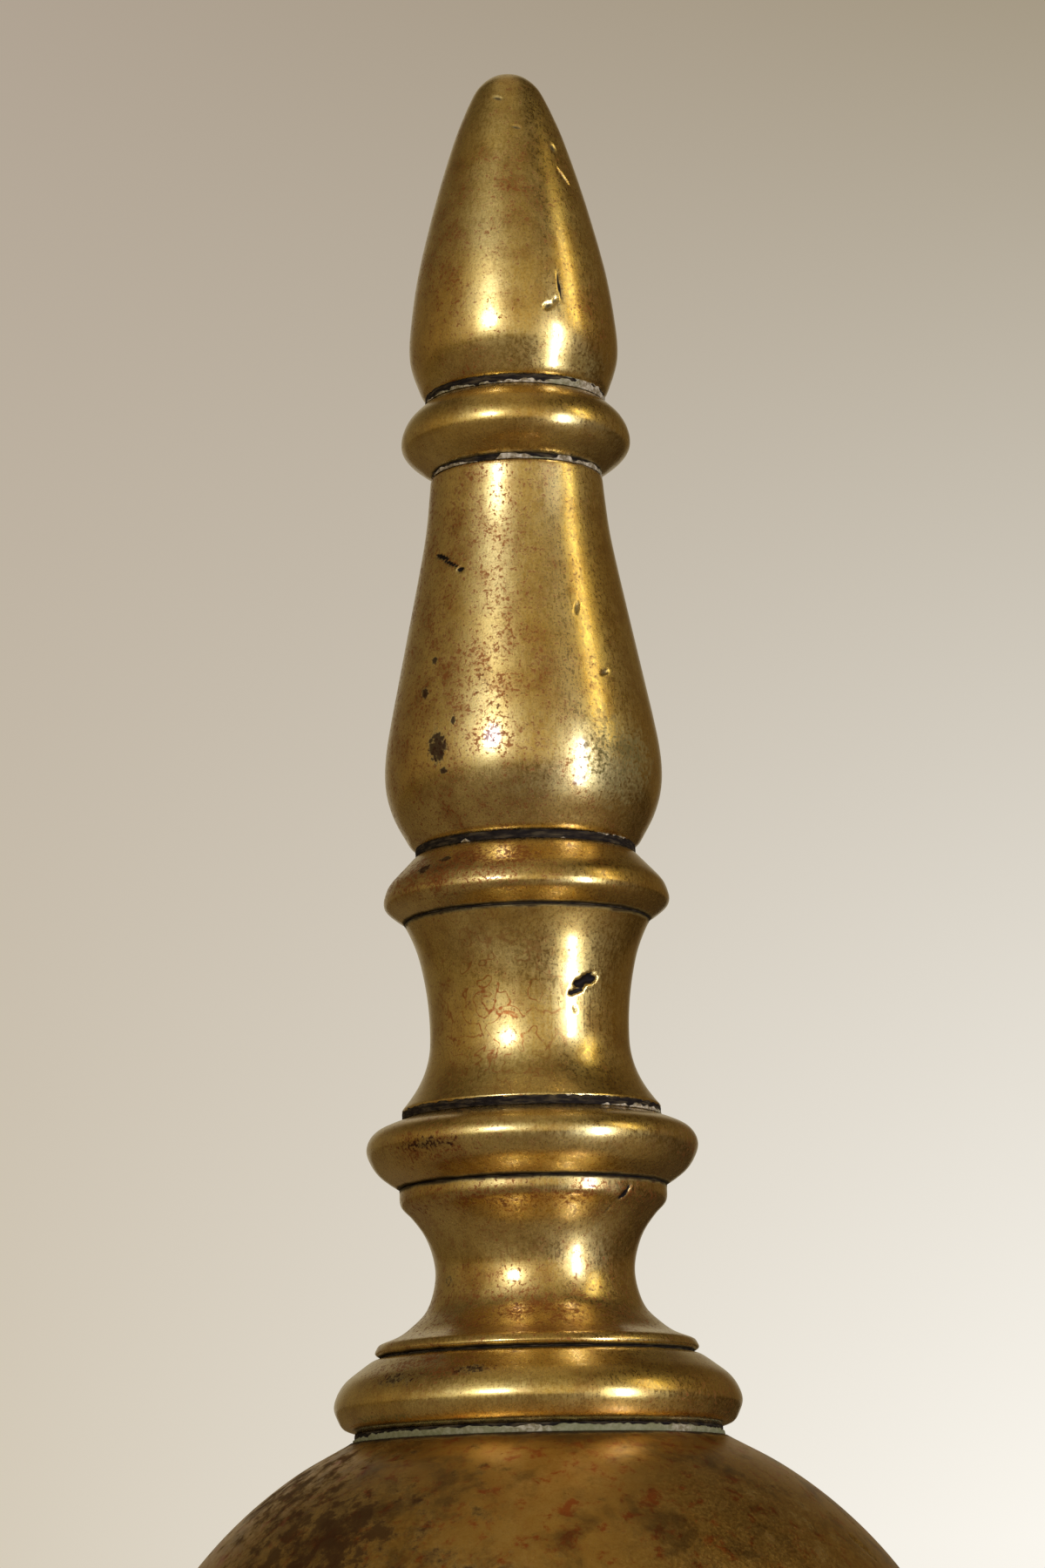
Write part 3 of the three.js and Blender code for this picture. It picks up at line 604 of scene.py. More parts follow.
def seam_ring(name, material, body, below, above, radius, inner, sides=720, rows=12, strip=((0, -1.0),),
              hang=((0, -1.0),), ragged=1.0, proud=0.16, clear=0.04):
    """Old dirt and dried polish in the groove between two turned pieces, with crusts that stand proud.

    It reaches from inner to radius and stays clear of both pieces. strip and hang are (azimuth, share
    of the groove's height) of the crust on its lower and upper edge.
    """
    azimuth = np.arange(sides) * 360 / sides
    level = np.linspace(0, 1, rows)
    a = np.ones((rows, 1)) * azimuth
    v = level[:, None] * np.ones((1, sides))
    low_r, low_z = near_seam(OUTLINES[below][::-1])
    high_r, high_z = near_seam(OUTLINES[above])
    flat = np.zeros((1, sides))
    edge = radius * MM + 0.10 * MM * wander(a[:1], flat, flat + radius * MM, 1.1, 5.0)
    bottom = np.interp(edge, low_r, low_z) + clear * MM
    top = np.interp(edge, high_r, high_z) - clear * MM
    z = bottom + (top - bottom) * v
    height = (z - BALL_Z) / MM
    r0 = np.full_like(z, radius * MM)
    rough = ragged * (0.32 * wander(a, height, r0, 2.4, 1.9) + 0.3 * wander(a, height, r0, 0.8, 8.3))
    low_edge = np.interp(azimuth, [p[0] for p in strip], [p[1] for p in strip], period=360)
    high_edge = np.interp(azimuth, [p[0] for p in hang], [p[1] for p in hang], period=360)
    flake = np.clip((np.maximum(low_edge - v, high_edge - (1 - v)) + rough) / 0.12, 0, 1)
    push = proud * flake + 0.07 * wander(a, height, r0, 0.6, 4.4) - 0.05 * (2 * v - 1) ** 4
    r = edge * np.ones_like(z) + push * MM
    base = inner * MM
    inside = [(base, float(np.interp(base, high_r, high_z)) - clear * MM),
              (base, float(np.interp(base, low_r, low_z)) + clear * MM)]
    mesh = spin(name, r, z, azimuth, {"flake": flake}, inside, True, (0.0, COLUMN_Y))
    return finish_piece(name, mesh, material, body, [])


def make_seams():
    filling = seam_filling("seam_dirt")
    green = seam_filling("seam_verdigris", 0.85)
    root, turning = "andiron", "tip_turning"
    seam_ring(
        "tip_seam_dirt", filling, turning, "tip_bead", "finial_tip", 13.35, 12.55,
        strip=((-80, 0.1), (-50, 0.25), (-30, 0.35), (0, 0.35), (20, 0.4), (34, 0.8), (66, 0.9),
               (90, 0.3), (180, 0.4)),
        hang=((-90, -0.5), (20, -0.3), (40, 0.2), (70, 0.2), (90, -0.5)),
    )
    seam_ring(
        "bead_seam_dirt", filling, root, "finial_baluster", "tip_bead", 12.6, 11.75,
        strip=((-75, 0.2), (-58, 0.8), (-40, 0.6), (-30, 0.0), (-14, 0.1), (-10, 1.0), (6, 1.0), (10, 0.3),
               (28, 0.3), (30, 1.4), (38, 1.4), (41, 0.3), (52, 0.7), (72, 0.8), (120, 0.3), (180, 0.1)),
    )
    seam_ring(
        "baluster_seam_dirt", filling, root, "baluster_collar", "finial_baluster", 16.1, 15.45,
        strip=((-36, -0.3), (-32, 0.5), (-27, -0.3), (16, -0.4), (20, 0.3), (24, -0.4), (180, 0.0)),
        hang=((-60, -0.4), (25, -0.3), (50, 0.0), (70, 0.0), (90, -0.4)),
    )
    seam_ring(
        "spool_seam_dirt", filling, root, "middle_ring", "upper_spool", 18.75, 18.25,
        strip=((-90, -0.4), (20, -0.3), (34, 0.1), (60, 0.4), (76, 0.5), (95, -0.1), (180, 0.2)),
        hang=((-60, -0.5), (-20, -0.3), (0, -0.1), (16, 0.0), (40, -0.1), (90, -0.5)),
    )
    for name, below, above, radius, inner in (
        ("collar_seam_dirt", "upper_spool", "baluster_collar", 17.9, 16.9),
        ("ring_seam_dirt", "lower_spool", "middle_ring", 19.15, 18.4),
        ("lip_seam_dirt", "finial_base_ring", "lower_spool", 22.45, 21.7),
    ):
        seam_ring(name, filling, root, below, above, radius, inner, rows=5)
    seam_ring(
        "ball_seam_verdigris", green, root, "ball_upper_shell", "finial_base_ring", 26.3, 25.0, 900, 16,
        strip=((-80, 0.35), (-62, 0.7), (-30, 0.8), (-10, 0.78), (20, 0.7), (50, 0.78), (80, 0.5),
               (180, 0.6)),
        ragged=0.6, proud=0.3,
    )


# ---------- The rod, the stud and their fastenings ----------


THREAD_STEP, PLAIN_STEP = 0.13, 2.5  # millimetres between the levels of a rod
THREAD_DEPTH = 0.58  # of the pitch
FLANK, ROOT = 1.25, 0.12  # the slope of a thread's sides, and how wide its root is


def threaded(name, node, material, body, zones, pitch, centre, sides=72):
    """A rod with a real screw thread in the given zones of height, which wears off at their ends."""
    points, _ = meridian(node, centre)
    radius = max(p[0] for p in points)
    low, high = min(p[1] for p in points), max(p[1] for p in points)
    levels = [low]
    while levels[-1] < high:
        fine = any(a - 1 * MM < levels[-1] < b + 1 * MM for a, b in zones)
        levels.append(min(levels[-1] + (THREAD_STEP if fine else PLAIN_STEP) * MM, high))
    z = np.array(levels)
    azimuth = np.arange(sides) * 360 / sides
    outline = sorted({(p[1], p[0]) for p in points if p[0] > 0})
    r = np.interp(z, [p[0] for p in outline], [p[1] for p in outline])
    r[0] = r[-1] = min(p[1] for p in outline)
    turn = (z[:, None] / pitch - azimuth[None, :] / 360) % 1
    ridge = np.clip(np.abs(2 * turn - 1) * FLANK - ROOT, 0, 1)
    share = np.zeros_like(z)
    for a, b in zones:
        share = np.maximum(share, np.clip(np.minimum(z - a, b - z) / pitch, 0, 1))
    cut = THREAD_DEPTH * pitch * (1 - ridge) * share[:, None]
    rr = np.minimum(r[:, None], radius - cut)
    zz = z[:, None] * np.ones_like(rr)
    zz = np.vstack([zz, zz[-1:]])
    rr = np.vstack([rr, np.zeros((1, sides))])
    mesh = spin(name, rr, zz, azimuth, {}, [(0.0, low)], False, centre)
    return finish_piece(name, mesh, material, body, [node])


# ---------- Castings and forgings ----------


def shell(name, rings):
    """A closed mesh through rings of points with the same count, the first and last of them capped."""
    count, sides = len(rings), len(rings[0])
    verts = [tuple(p) for ring in rings for p in ring]
    faces = []
    for i in range(count - 1):
        for j in range(sides):
            k = (j + 1) % sides
            faces.append((i * sides + j, i * sides + k, (i + 1) * sides + k, (i + 1) * sides + j))
    faces.append(tuple(reversed(range(sides))))
    faces.append(tuple((count - 1) * sides + j for j in range(sides)))
    mesh = bpy.data.meshes.new(name)
    mesh.from_pydata(verts, [], faces)
    shape = bmesh.new()
    shape.from_mesh(mesh)
    bmesh.ops.recalc_face_normals(shape, faces=shape.faces)
    shape.to_mesh(mesh)
    shape.free()
    return mesh


def box_mesh(low, high):
    x0, y0, z0 = low
    x1, y1, z1 = high
    rings = [[(x0, y0, z), (x1, y0, z), (x1, y1, z), (x0, y1, z)] for z in (z0, z1)]
    return shell("box", rings)


def post_mesh(radius, low, high, centre, sides=48):
    angles = [2 * math.pi * i / sides for i in range(sides)]
    circle = [(centre[0] + radius * math.cos(a), centre[1] + radius * math.sin(a)) for a in angles]
    return shell("post", [[(x, y, z) for x, y in circle] for z in (low, high)])


def evaluated(mesh, *modifiers):
    """The mesh after modifiers, each given as (type, settings)."""
    holder = linked("holder", mesh)
    for kind, settings in modifiers:
        modifier = holder.modifiers.new(kind, kind)
        for key, value in settings.items():
            setattr(modifier, key, value)
    depsgraph = bpy.context.evaluated_depsgraph_get()
    result = bpy.data.meshes.new_from_object(holder.evaluated_get(depsgraph))
    bpy.data.objects.remove(holder)
    return result


def combined(mesh, others, operation):
    """The mesh with each of the others joined to it, or cut out of it."""
    for other in others:
        tool = linked("tool", other)
        settings = {"operation": operation, "object": tool, "solver": "MANIFOLD"}
        mesh = evaluated(mesh, ("BOOLEAN", settings))
        bpy.data.objects.remove(tool)
    return mesh


def points_and_normals(mesh):
    found = []
    for key in ("co", "normal"):
        values = np.empty(len(mesh.vertices) * 3, np.float32)
        mesh.vertices.foreach_get(key, values)
        found.append(values.reshape(-1, 3))
    return found


def wear_down(mesh, voxel, steps, layers):
    """An even fine skin over the mesh, with its edges worn round and its faces uneven.

    layers are (size, depth, seed) in millimetres, and push the skin inwards only.
    """
    skin = {"mode": "VOXEL", "voxel_size": voxel * MM, "use_smooth_shade": True}
    mesh = evaluated(mesh, ("REMESH", skin), ("SMOOTH", {"factor": 0.5, "iterations": steps}))
    place, normal = points_and_normals(mesh)
    push = np.zeros(len(place))
    for size, depth, seed in layers:
        spots = place / (size * MM) + seed
        push -= depth * MM * (0.5 + 0.5 * np.array([noise.noise(v) for v in spots.tolist()]))
    place = place + normal * push[:, None]
    mesh.vertices.foreach_set("co", place.astype(np.float32).ravel())
    mesh.update()
    return mesh


CAST_CROWD = 0.8  # how thick the freckles on a casting are
CAST_HOLLOW, CAST_RANGE, CAST_DIRT = 0.03, 0.12, 0.9  # bend per millimetre where dirt gathers, and its most
BEND_AVERAGES = 4


def aged(mesh, spacing):
    """Freckles all over the mesh, and dirt in its hollows; its points lie spacing millimetres apart."""
    count = len(mesh.vertices)
    place, normal = points_and_normals(mesh)
    pairs = np.empty(len(mesh.edges) * 2, np.int32)
    mesh.edges.foreach_get("vertices", pairs)
    a, b = pairs.reshape(-1, 2).T
    links = np.bincount(a, minlength=count) + np.bincount(b, minlength=count)

    def averaged(values):
        return (np.bincount(a, values[b], count) + np.bincount(b, values[a], count)) / links

    place = place / MM
    bend = sum((averaged(place[:, k]) - place[:, k]) * normal[:, k] for k in range(3)) * 4 / spacing**2
    for _ in range(BEND_AVERAGES):
        bend = averaged(bend)
    dirt = np.clip((bend - CAST_HOLLOW) / CAST_RANGE, 0, CAST_DIRT)
    values = {"dirt": dirt, "crowd": np.full(count, CAST_CROWD)}
    for key, layer in values.items():
        mesh.attributes.new(key, "FLOAT", "POINT").data.foreach_set("value", layer.astype(np.float32))
    return mesh


def worn_node(name, node, material, body, voxel, steps, layers):
    mesh = wear_down(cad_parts[node].data.copy(), voxel, steps, layers)
    return finish_piece(name, mesh, material, body, [node])


# ---------- Knocks, pits and stains, where the photograph shows them ----------
# each row is a Mark: kind, azimuth, height, length, width, depth, tilt and grain

TIP_MARKS = [
    ("nick", -14, 256.7, 2.6, 0.9, 0.14, -20),
    ("nick", 8, 251.3, 2.2, 0.8, 0.14, -15),
    ("nick", 45, 248.5, 2, 1.4, 0.16, -70),
    ("nick", 49, 243.7, 4.4, 0.5, 0.3, -50),
    ("pit", 27.4, 224.8, 5.2, 0.34, 0.2, -88),
    ("nick", 20, 221.6, 2.2, 1.1, 0.22, 25),
    ("nick", 24, 222.5, 1.4, 0.7, 0.18, 40),
    ("crowd", -42, 229, 20, 30, 0.6),
    ("crowd", 0, 241, 14, 10, 0.5),
    ("green", 48, 214, 12, 6, 0.5),
    ("crowd", 50, 222, 8, 8, 0.5),
    ("nick", 150, 236, 3.5, 0.6, 0.35, 30),
    ("pit", -160, 224, 2.2, 1.1, 0.6),
]
BALUSTER_MARKS = [
    ("pit", -50, 185.3, 4.4, 0.62, 0.4, -22),
    ("pit", -42, 183.9, 4.4, 0.45, 0.3, -26),
    ("pit", -34, 182.6, 1.4, 0.75, 0.25),
    ("crowd", -40, 174, 40, 64, 0.45),
    ("crowd", -6, 166, 16, 20, 0.15),
    ("stain", -16, 164.5, 2.4, 6, 0.4, 15),
    ("stain", -10, 160.5, 3.4, 1.8, 0.36),
    ("stain", -37, 155.6, 4, 5.6, 1, 10),
    ("stain", -34.5, 152, 1.4, 1.2),
    ("stain", -48, 164.3, 1.8, 2),
    ("stain", -30, 159.2, 0.9, 1.4),
    ("stain", -44, 169, 1.2, 1.6),
    ("crowd", 62, 175, 22, 50, -0.5),
    ("green", 44, 153.5, 17, 14),
    ("green", 5, 149, 20, 5, 0.4),
    ("nick", 30, 176, 2.4, 0.5, 0.2, 70),
    ("nick", 41, 166.5, 2, 0.6, 0.25, 20),
    ("pit", 170, 172, 3.4, 1.2, 0.6, 15),
    ("stain", -130, 160, 6, 4),
    ("stain", 120, 178, 3, 4.2),
]
COLLAR_MARKS = [
    ("crowd", -35, 138, 36, 8, 1.8),
    ("stain", -48, 138.4, 3, 1.6, 1, 0, 0.6),
    ("stain", -38, 139.6, 2.6, 1, 1, 0, 0.6),
]
UPPER_SPOOL_MARKS = [
    ("pit", 34, 121.9, 5.4, 1.7, 0.6, 27),
    ("pit", 27.5, 120.2, 2.8, 0.7, 0.4, 16),
    ("nick", 27, 117.6, 1.2, 0.4, 0.2, -60),
    ("lines", -22, 117, 26, 24, 0.9),
    ("crowd", -40, 116, 22, 30, 0.4),
    ("pit", -140, 112, 2.2, 1.2, 0.5),
]
MIDDLE_RING_MARKS = [
    ("crowd", -40, 98.6, 22, 8, 1.2),
    ("stain", -38, 98.4, 15, 3, 0.5),
    ("crowd", 70, 98.6, 14, 8, 1.2),
    ("nick", 95, 99.5, 2, 0.8, 0.3),
]
LOWER_SPOOL_MARKS = [
    ("pit", 43, 91.2, 2.8, 0.9, 0.3, 55),
    ("nick", 38, 89, 2.4, 0.4, 0.15, 60),
    ("stain", -60, 80, 5, 3.6, 0.4),
    ("crowd", -10, 75, 60, 9, 0.8),
    ("crowd", 0, 91, 60, 4, 0.8),
]
BASE_RING_MARKS = [
    ("crowd", -36, 67, 26, 5, 1.6),
    ("crowd", 60, 63, 24, 8, 1),
    ("stain", -20, 66.3, 9, 1.8, 0.55),
    ("stain", -44, 65.5, 12, 3.2, 0.55),
    ("green", -50, 60.2, 16, 1.2),
]
VASE_MARKS = [
    ("crowd", -20, -165, 60, 60, 0.5),
    ("stain", -32, -152, 8, 6, 1, 0, 1.5),
    ("stain", 22, -186, 5, 4),
    ("stain", 150, -160, 8, 6),
    ("pit", 12, -141, 4.2, 1.2, 0.5, 20),
    ("pit", -120, -170, 3, 1.4, 0.5),
    ("nick", 48, -160, 5, 0.8, 0.35, -40),
    ("green", 60, -212, 24, 9, 0.7),
]
BELL_MARKS = [
    ("crowd", 0, -270, 90, 22, 0.6),
    ("stain", 12, -262, 7, 5),
    ("pit", -50, -256, 2.8, 1.2, 0.5),
    ("nick", -20, -278, 5, 1, 0.4, 12),
    ("nick", 36, -281, 4, 1, 0.4, -15),
]
BALL_MARKS = [
    ("stain", -40, 42, 44, 24, 1, 0, 3),
    ("stain", -12, 36, 20, 9, 1, 0, 3),
    ("stain", -64, 50, 34, 18, 0.8, 0, 3),
    ("stain", 62, 46, 30, 20, 0.4, 0, 3),
    ("nick", 66, 41, 5, 1, 0.5, -50),
    ("nick", 130, 30, 4, 1.2, 0.5, 20),
]


# ---------- The brass, from the tip down ----------


LOW_BRASS = {"crowd": 0.75, "grooves": 0.9}  # the brass that nobody polishes


def make_column(plain, brown):
    root, lifting, turning = "andiron", "tip_lifting", "tip_turning"
    column = [
        ("steeple_tip", "finial_tip", turning, TIP_MARKS, 0.7, 0.0),
        ("steeple_bead", "tip_bead", lifting, (), 0.6, 0.0),
        ("steeple_baluster", "finial_baluster", root, BALUSTER_MARKS, 0.9, 0.05),
        ("bevelled_collar", "baluster_collar", root, COLLAR_MARKS, 0.4, 0.2),
        ("tall_spool", "upper_spool", root, UPPER_SPOOL_MARKS, 0.5, 0.05),
        ("round_ring", "middle_ring", root, MIDDLE_RING_MARKS, 0.4, 0.2),
        ("short_spool", "lower_spool", root, LOWER_SPOOL_MARKS, 0.75, 0.3),
        ("base_ring", "finial_base_ring", root, BASE_RING_MARKS, 0.3, 0.2),
    ]
    for name, node, body, marks, crowd, lines in column:
        turned(name, node, plain, body, "patinated_brass", marks=marks, crowd=crowd, lines=lines)
    turned("ball_top", "ball_upper_shell", brown, root, "ball_brass", 0.74, 540, BALL_MARKS, dirt_reach=2.0)
    turned("ball_bottom", "ball_lower_shell", brown, root, "ball_brass", 0.8, 420, dirt_reach=1.2)
    for name, node, marks in (
        ("neck_ring", "ball_neck_ring", ()),
        ("neck_short_spool", "neck_spool", ()),
        ("column_round_ring", "column_upper_ring", ()),
        ("vase", "column_vase", VASE_MARKS),
        ("vase_ring", "column_lower_ring", ()),
        ("bell_foot", "column_foot", BELL_MARKS),
    ):
        turned(name, node, plain, root, "patinated_brass", 0.5, 380, marks, lines=0.3, **LOW_BRASS)


def make_log_stop(plain, brown):
    centre = (0.0, STOP_Y)
    for name, node, material, slot in (
        ("log_stop_foot", "log_stop_base", plain, "patinated_brass"),
        ("log_stop_globe", "log_stop_ball", brown, "ball_brass"),
        ("log_stop_steeple", "log_stop_finial", plain, "patinated_brass"),
    ):
        turned(name, node, material, "andiron", slot, 0.3, 200, centre=centre, bore=STUD_BORE,
               dirt_reach=0.6, **LOW_BRASS)


# ---------- The plinth, the legs and the feet ----------

CAST_LAYERS = ((16, 0.25, 3.3), (5, 0.14, 8.1), (1.6, 0.05, 1.7))

# down the middle of the right leg: x and z of its centre line, half height and half depth of its section
LEG_LINE = (
    (38, 97.3, 21.2, 21.8),
    (62, 97, 18.5, 20.5),
    (84, 89, 15.5, 17.5),
    (100, 73, 12.2, 14),
    (107.5, 56, 9.6, 11),
    (114, 43, 8.6, 9.4),
    (124, 30, 8.8, 9.2),
)
LEG_SQUARENESS = 0.72  # 1 is an ellipse, and less is squarer
APRON_EDGE = ((0.15, 60), (5, 61.5), (9, 67), (18, 72.5), (32, 76), (42, 81))
LUG = ((0.15, -22, 76), (42, 22, 118.7))
LEG_SLOT = ((-1, -17, 70), (17, 30, 106))
GROUND = ((60, -60, 0), (180, 40, 36))
FOOT_PLACE = (121, -18)
APRON_TOP, APRON_DEPTH = 90, (-22, -17)
SPIGOT_BORE = 4.8 * MM
BOLT_BORE = 3.3 * MM
BOLT_ASIDE = 29
BOLT_END = 135
POCKET_SIDE, POCKET_EDGE = 44, 24  # the plinth's two hollows, in millimetres from its middle
PLINTH_ROOF = 7


def scaled_box(corners, side=1):
    """A box from corners in millimetres round the column's foot, mirrored to the left where side is -1."""
    (x0, y0, z0), (x1, y1, z1) = corners
    xs = sorted((side * x0, side * x1))
    low = (xs[0] * MM, COLUMN_Y + y0 * MM, z0 * MM)
    return box_mesh(low, (xs[1] * MM, COLUMN_Y + y1 * MM, z1 * MM))


def leg_sweep(side):
    line = through(np.array(LEG_LINE, float), 1.5)
    along = np.gradient(line[:, :2], axis=0)
    along /= np.linalg.norm(along, axis=1)[:, None]
    angle = np.arange(64) * 2 * math.pi / 64
    c, s = np.cos(angle), np.sin(angle)
    u = np.sign(c) * np.abs(c) ** LEG_SQUARENESS
    v = np.sign(s) * np.abs(s) ** LEG_SQUARENESS
    rings = []
    for (x, z, across, deep), (ax, az) in zip(line, along):
        y = FOOT_PLACE[1] * (x - LEG_LINE[0][0]) / (LEG_LINE[-1][0] - LEG_LINE[0][0])
        ring = np.stack([side * (x - az * u * across), y + v * deep, z + ax * u * across], axis=1)
        rings.append((ring * MM + (0, COLUMN_Y, 0)).tolist())
    return shell("leg", rings)


def apron(side):
    top = [(APRON_EDGE[-1][0], APRON_TOP), (APRON_EDGE[0][0], APRON_TOP)]
    edge = through(np.array(APRON_EDGE, float), 1.0).tolist() + top
    rings = [[(side * x * MM, COLUMN_Y + y * MM, z * MM) for x, z in edge] for y in APRON_DEPTH]
    return shell("apron", rings)


def bolt_hole(side, low):
    """The hole for the bolt from a leg up into the plinth, from low millimetres up."""
    return post_mesh(BOLT_BORE, low * MM, BOLT_END * MM, (side * BOLT_ASIDE * MM, COLUMN_Y))


def cast_skin(mesh, voxel, steps):
    return aged(wear_down(mesh, voxel, steps, CAST_LAYERS), voxel)


def make_leg(side, name, node, material):
    mesh = combined(leg_sweep(side), [scaled_box(LUG, side), apron(side)], "UNION")
    foot = (side * FOOT_PLACE[0] * MM, COLUMN_Y + FOOT_PLACE[1] * MM)
    cuts = [
        scaled_box(LEG_SLOT, side),
        scaled_box(GROUND, side),
        post_mesh(SPIGOT_BORE, 35 * MM, 45 * MM, foot),
        bolt_hole(side, 75),
        post_mesh(ROD_BORE, 75 * MM, 120 * MM, (0, COLUMN_Y)),
    ]
    mesh = cast_skin(combined(mesh, cuts, "DIFFERENCE"), 0.75, 6)
    finish_piece(name, mesh, material, "andiron", [node])


def make_plinth(material):
    """The square block again from the node's own corners, with its mouldings drawn smooth."""
    found = {}
    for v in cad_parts["plinth"].data.vertices:
        x, y, z = abs(v.co.x), abs(v.co.y - COLUMN_Y), round(v.co.z, 6)
        if abs(x - y) < 2e-5 and x > 44.5 * MM:
            found[z] = max(found.get(z, 0), x)
    corner = [(half, z) for z, half in sorted(found.items())]
    outline = refined(corner, 0.6 * MM, 30, 0.2 * MM)
    signs = ((-1, -1), (1, -1), (1, 1), (-1, 1))
    rings = [[(a * half, COLUMN_Y + b * half, z) for a, b in signs] for half, z in outline]
    body = shell("plinth", rings)
    low, high = corner[0][1] / MM, corner[-1][1] / MM
    cuts = [
        scaled_box(((-POCKET_SIDE, -POCKET_SIDE, low - 1), (POCKET_SIDE, -POCKET_EDGE, high - PLINTH_ROOF))),
        scaled_box(((-POCKET_SIDE, POCKET_EDGE, low - 1), (POCKET_SIDE, POCKET_SIDE, high - PLINTH_ROOF))),
        post_mesh(ROD_BORE, (low - 1) * MM, (high + 1) * MM, (0, COLUMN_Y)),
        bolt_hole(1, low - 1),
        bolt_hole(-1, low - 1),
    ]
    mesh = cast_skin(combined(body, cuts, "DIFFERENCE"), 0.7, 10)
    finish_piece("moulded_plinth", mesh, material, "andiron", ["plinth"])


def make_base(plain):
    make_plinth(plain)
    for side, word in ((-1, "left"), (1, "right")):
        make_leg(side, f"arched_leg_{word}", f"leg_{word}", plain)
        place = (side * FOOT_PLACE[0] * MM, COLUMN_Y + FOOT_PLACE[1] * MM)
        turned(f"ball_foot_{word}", f"foot_{word}", plain, "andiron", "patinated_brass", 0.4, 200,
               centre=place, bore=0.0, uneven=0.08, **LOW_BRASS)


# ---------- The iron ----------

FORGED_LAYERS = ((24, 0.7, 2.9), (8, 0.45, 6.1), (2.2, 0.16, 4.7))
SCREW_LAYERS = ((5, 0.2, 1.3), (1.3, 0.08, 7.9))


def make_iron(forged, screws):
    root = "andiron"
    worn_node("forged_bar", "billet_bar", forged, root, 1.1, 5, FORGED_LAYERS)
    worn_node("forged_rear_leg", "rear_leg", forged, root, 0.8, 5, FORGED_LAYERS)
    for node in ("tie_rod_nut", "log_stop_nut", "leg_bolt_left", "leg_bolt_right"):
        worn_node(f"worn_{node}", node, screws, root, 0.4, 3, SCREW_LAYERS)
    for node, centre, bore in (
        ("tie_rod_washer", (0.0, COLUMN_Y), ROD_BORE),
        ("log_stop_washer", (0.0, STOP_Y), STUD_BORE),
    ):
        turned(f"worn_{node}", node, screws, root, "threaded_iron", 0.3, 120, centre=centre, bore=bore,
               uneven=0.1)
    rod_low, rod_high = (c.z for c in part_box("tie_rod"))
    zones = ((rod_low, rod_low + 22 * MM), (rod_high - 33 * MM, rod_high))
    threaded("threaded_rod", "tie_rod", screws, root, zones, INCH / 16, (0.0, COLUMN_Y))
    stud_low, stud_high = (c.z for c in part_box("log_stop_stud"))
    zones = ((stud_low, stud_low + 14 * MM), (stud_high - 14 * MM, stud_high))
    centre = (0.0, STOP_Y)
    threaded("threaded_stud", "log_stop_stud", screws, root, zones, INCH / 20, centre, 48)


# ---------- Light ----------


def direction(azimuth, elevation):
    """From the finial towards a lamp: azimuth is 0 at the camera's side and positive to the right."""
    a, e = math.radians(azimuth), math.radians(elevation)
    return Vector((math.sin(a) * math.cos(e), -math.cos(a) * math.cos(e), math.sin(e)))


AIM_RISE = 0.145  # what the lamps face, over the ball's centre


def lamp(name, azimuth, elevation, distance, size, radiance, colour):
    """A soft box that faces the finial and shines with the given radiance."""
    aim = Vector((0, COLUMN_Y, BALL_Z + AIM_RISE))
    data = bpy.data.lights.new(name, "AREA")
    data.shape = "ELLIPSE" if size[0] == size[1] else "RECTANGLE"
    data.size, data.size_y = size
    area = size[0] * size[1] * (math.pi / 4 if data.shape == "ELLIPSE" else 1)
    data.energy = radiance * area * math.pi
    data.color = colour
    box = linked(name, data)
    box.location = aim + direction(azimuth, elevation) * distance
    box.rotation_mode = "QUATERNION"
    box.rotation_quaternion = (-direction(azimuth, elevation)).to_track_quat("-Z", "Y")
    box.visible_camera = False


def make_light():
    lamp("lamp_left", -25.4, 20, 3.6, (0.76, 0.76), 24.0, (0.87, 1.0, 1.5))
    lamp("window_right", 49.0, -2.2, 1.25, (0.19, 0.92), 17.0, (0.87, 1.0, 1.55))
    lamp("warm_strip_right", 74, 29, 2.6, (0.46, 1.1), 3.7, (1.0, 0.86, 0.42))


ROOM_FRONT = (0.63, 0.50, 0.26, 1)
ROOM_LEFT = (0.29, 0.21, 0.10, 1)
ROOM_RIGHT = (0.13, 0.08, 0.025, 1)
ROOM_BACK = (0.40, 0.34, 0.23, 1)
ROOM_CEILING = (0.35, 0.27, 0.15, 1)
ROOM_GLOW = (0.54, 0.65, 0.78, 1)
# the backdrop's painted light and shade: palest low down on the right, darker high up
WALL_LOW_LEFT = linear(213, 203, 185)
WALL_LOW_RIGHT = linear(252, 248, 239)
WALL_LOW = linear(231, 224, 211)
WALL_HIGH_LEFT = linear(175, 162, 146)
WALL_HIGH_RIGHT = linear(162, 150, 129)


def share(tree, value, low, high):
    """0 at the low value and 1 at the high one, on a straight line."""
    rest = minus(tree, value, low)
    return maths(tree, "DIVIDE", rest, high - low, True)


def pale_wall(tree, side, up):
    """The wall's colour, with painted light and shade: paler low down and to the right, as in the photograph.
    """
    right = share(tree, side, -0.12, 0.12)
    low = mix(tree, right, WALL_LOW_LEFT, WALL_LOW_RIGHT)
    aside = ramp(tree, maths(tree, "ABSOLUTE", side), 0.14, 0.4)
    low = mix(tree, maths(tree, "MAXIMUM", aside, ramp(tree, up, 0.012, -0.04)), low, WALL_LOW)
    high = mix(tree, right, WALL_HIGH_LEFT, WALL_HIGH_RIGHT)
    return mix(tree, share(tree, up, 0.02, 0.36), low, high)


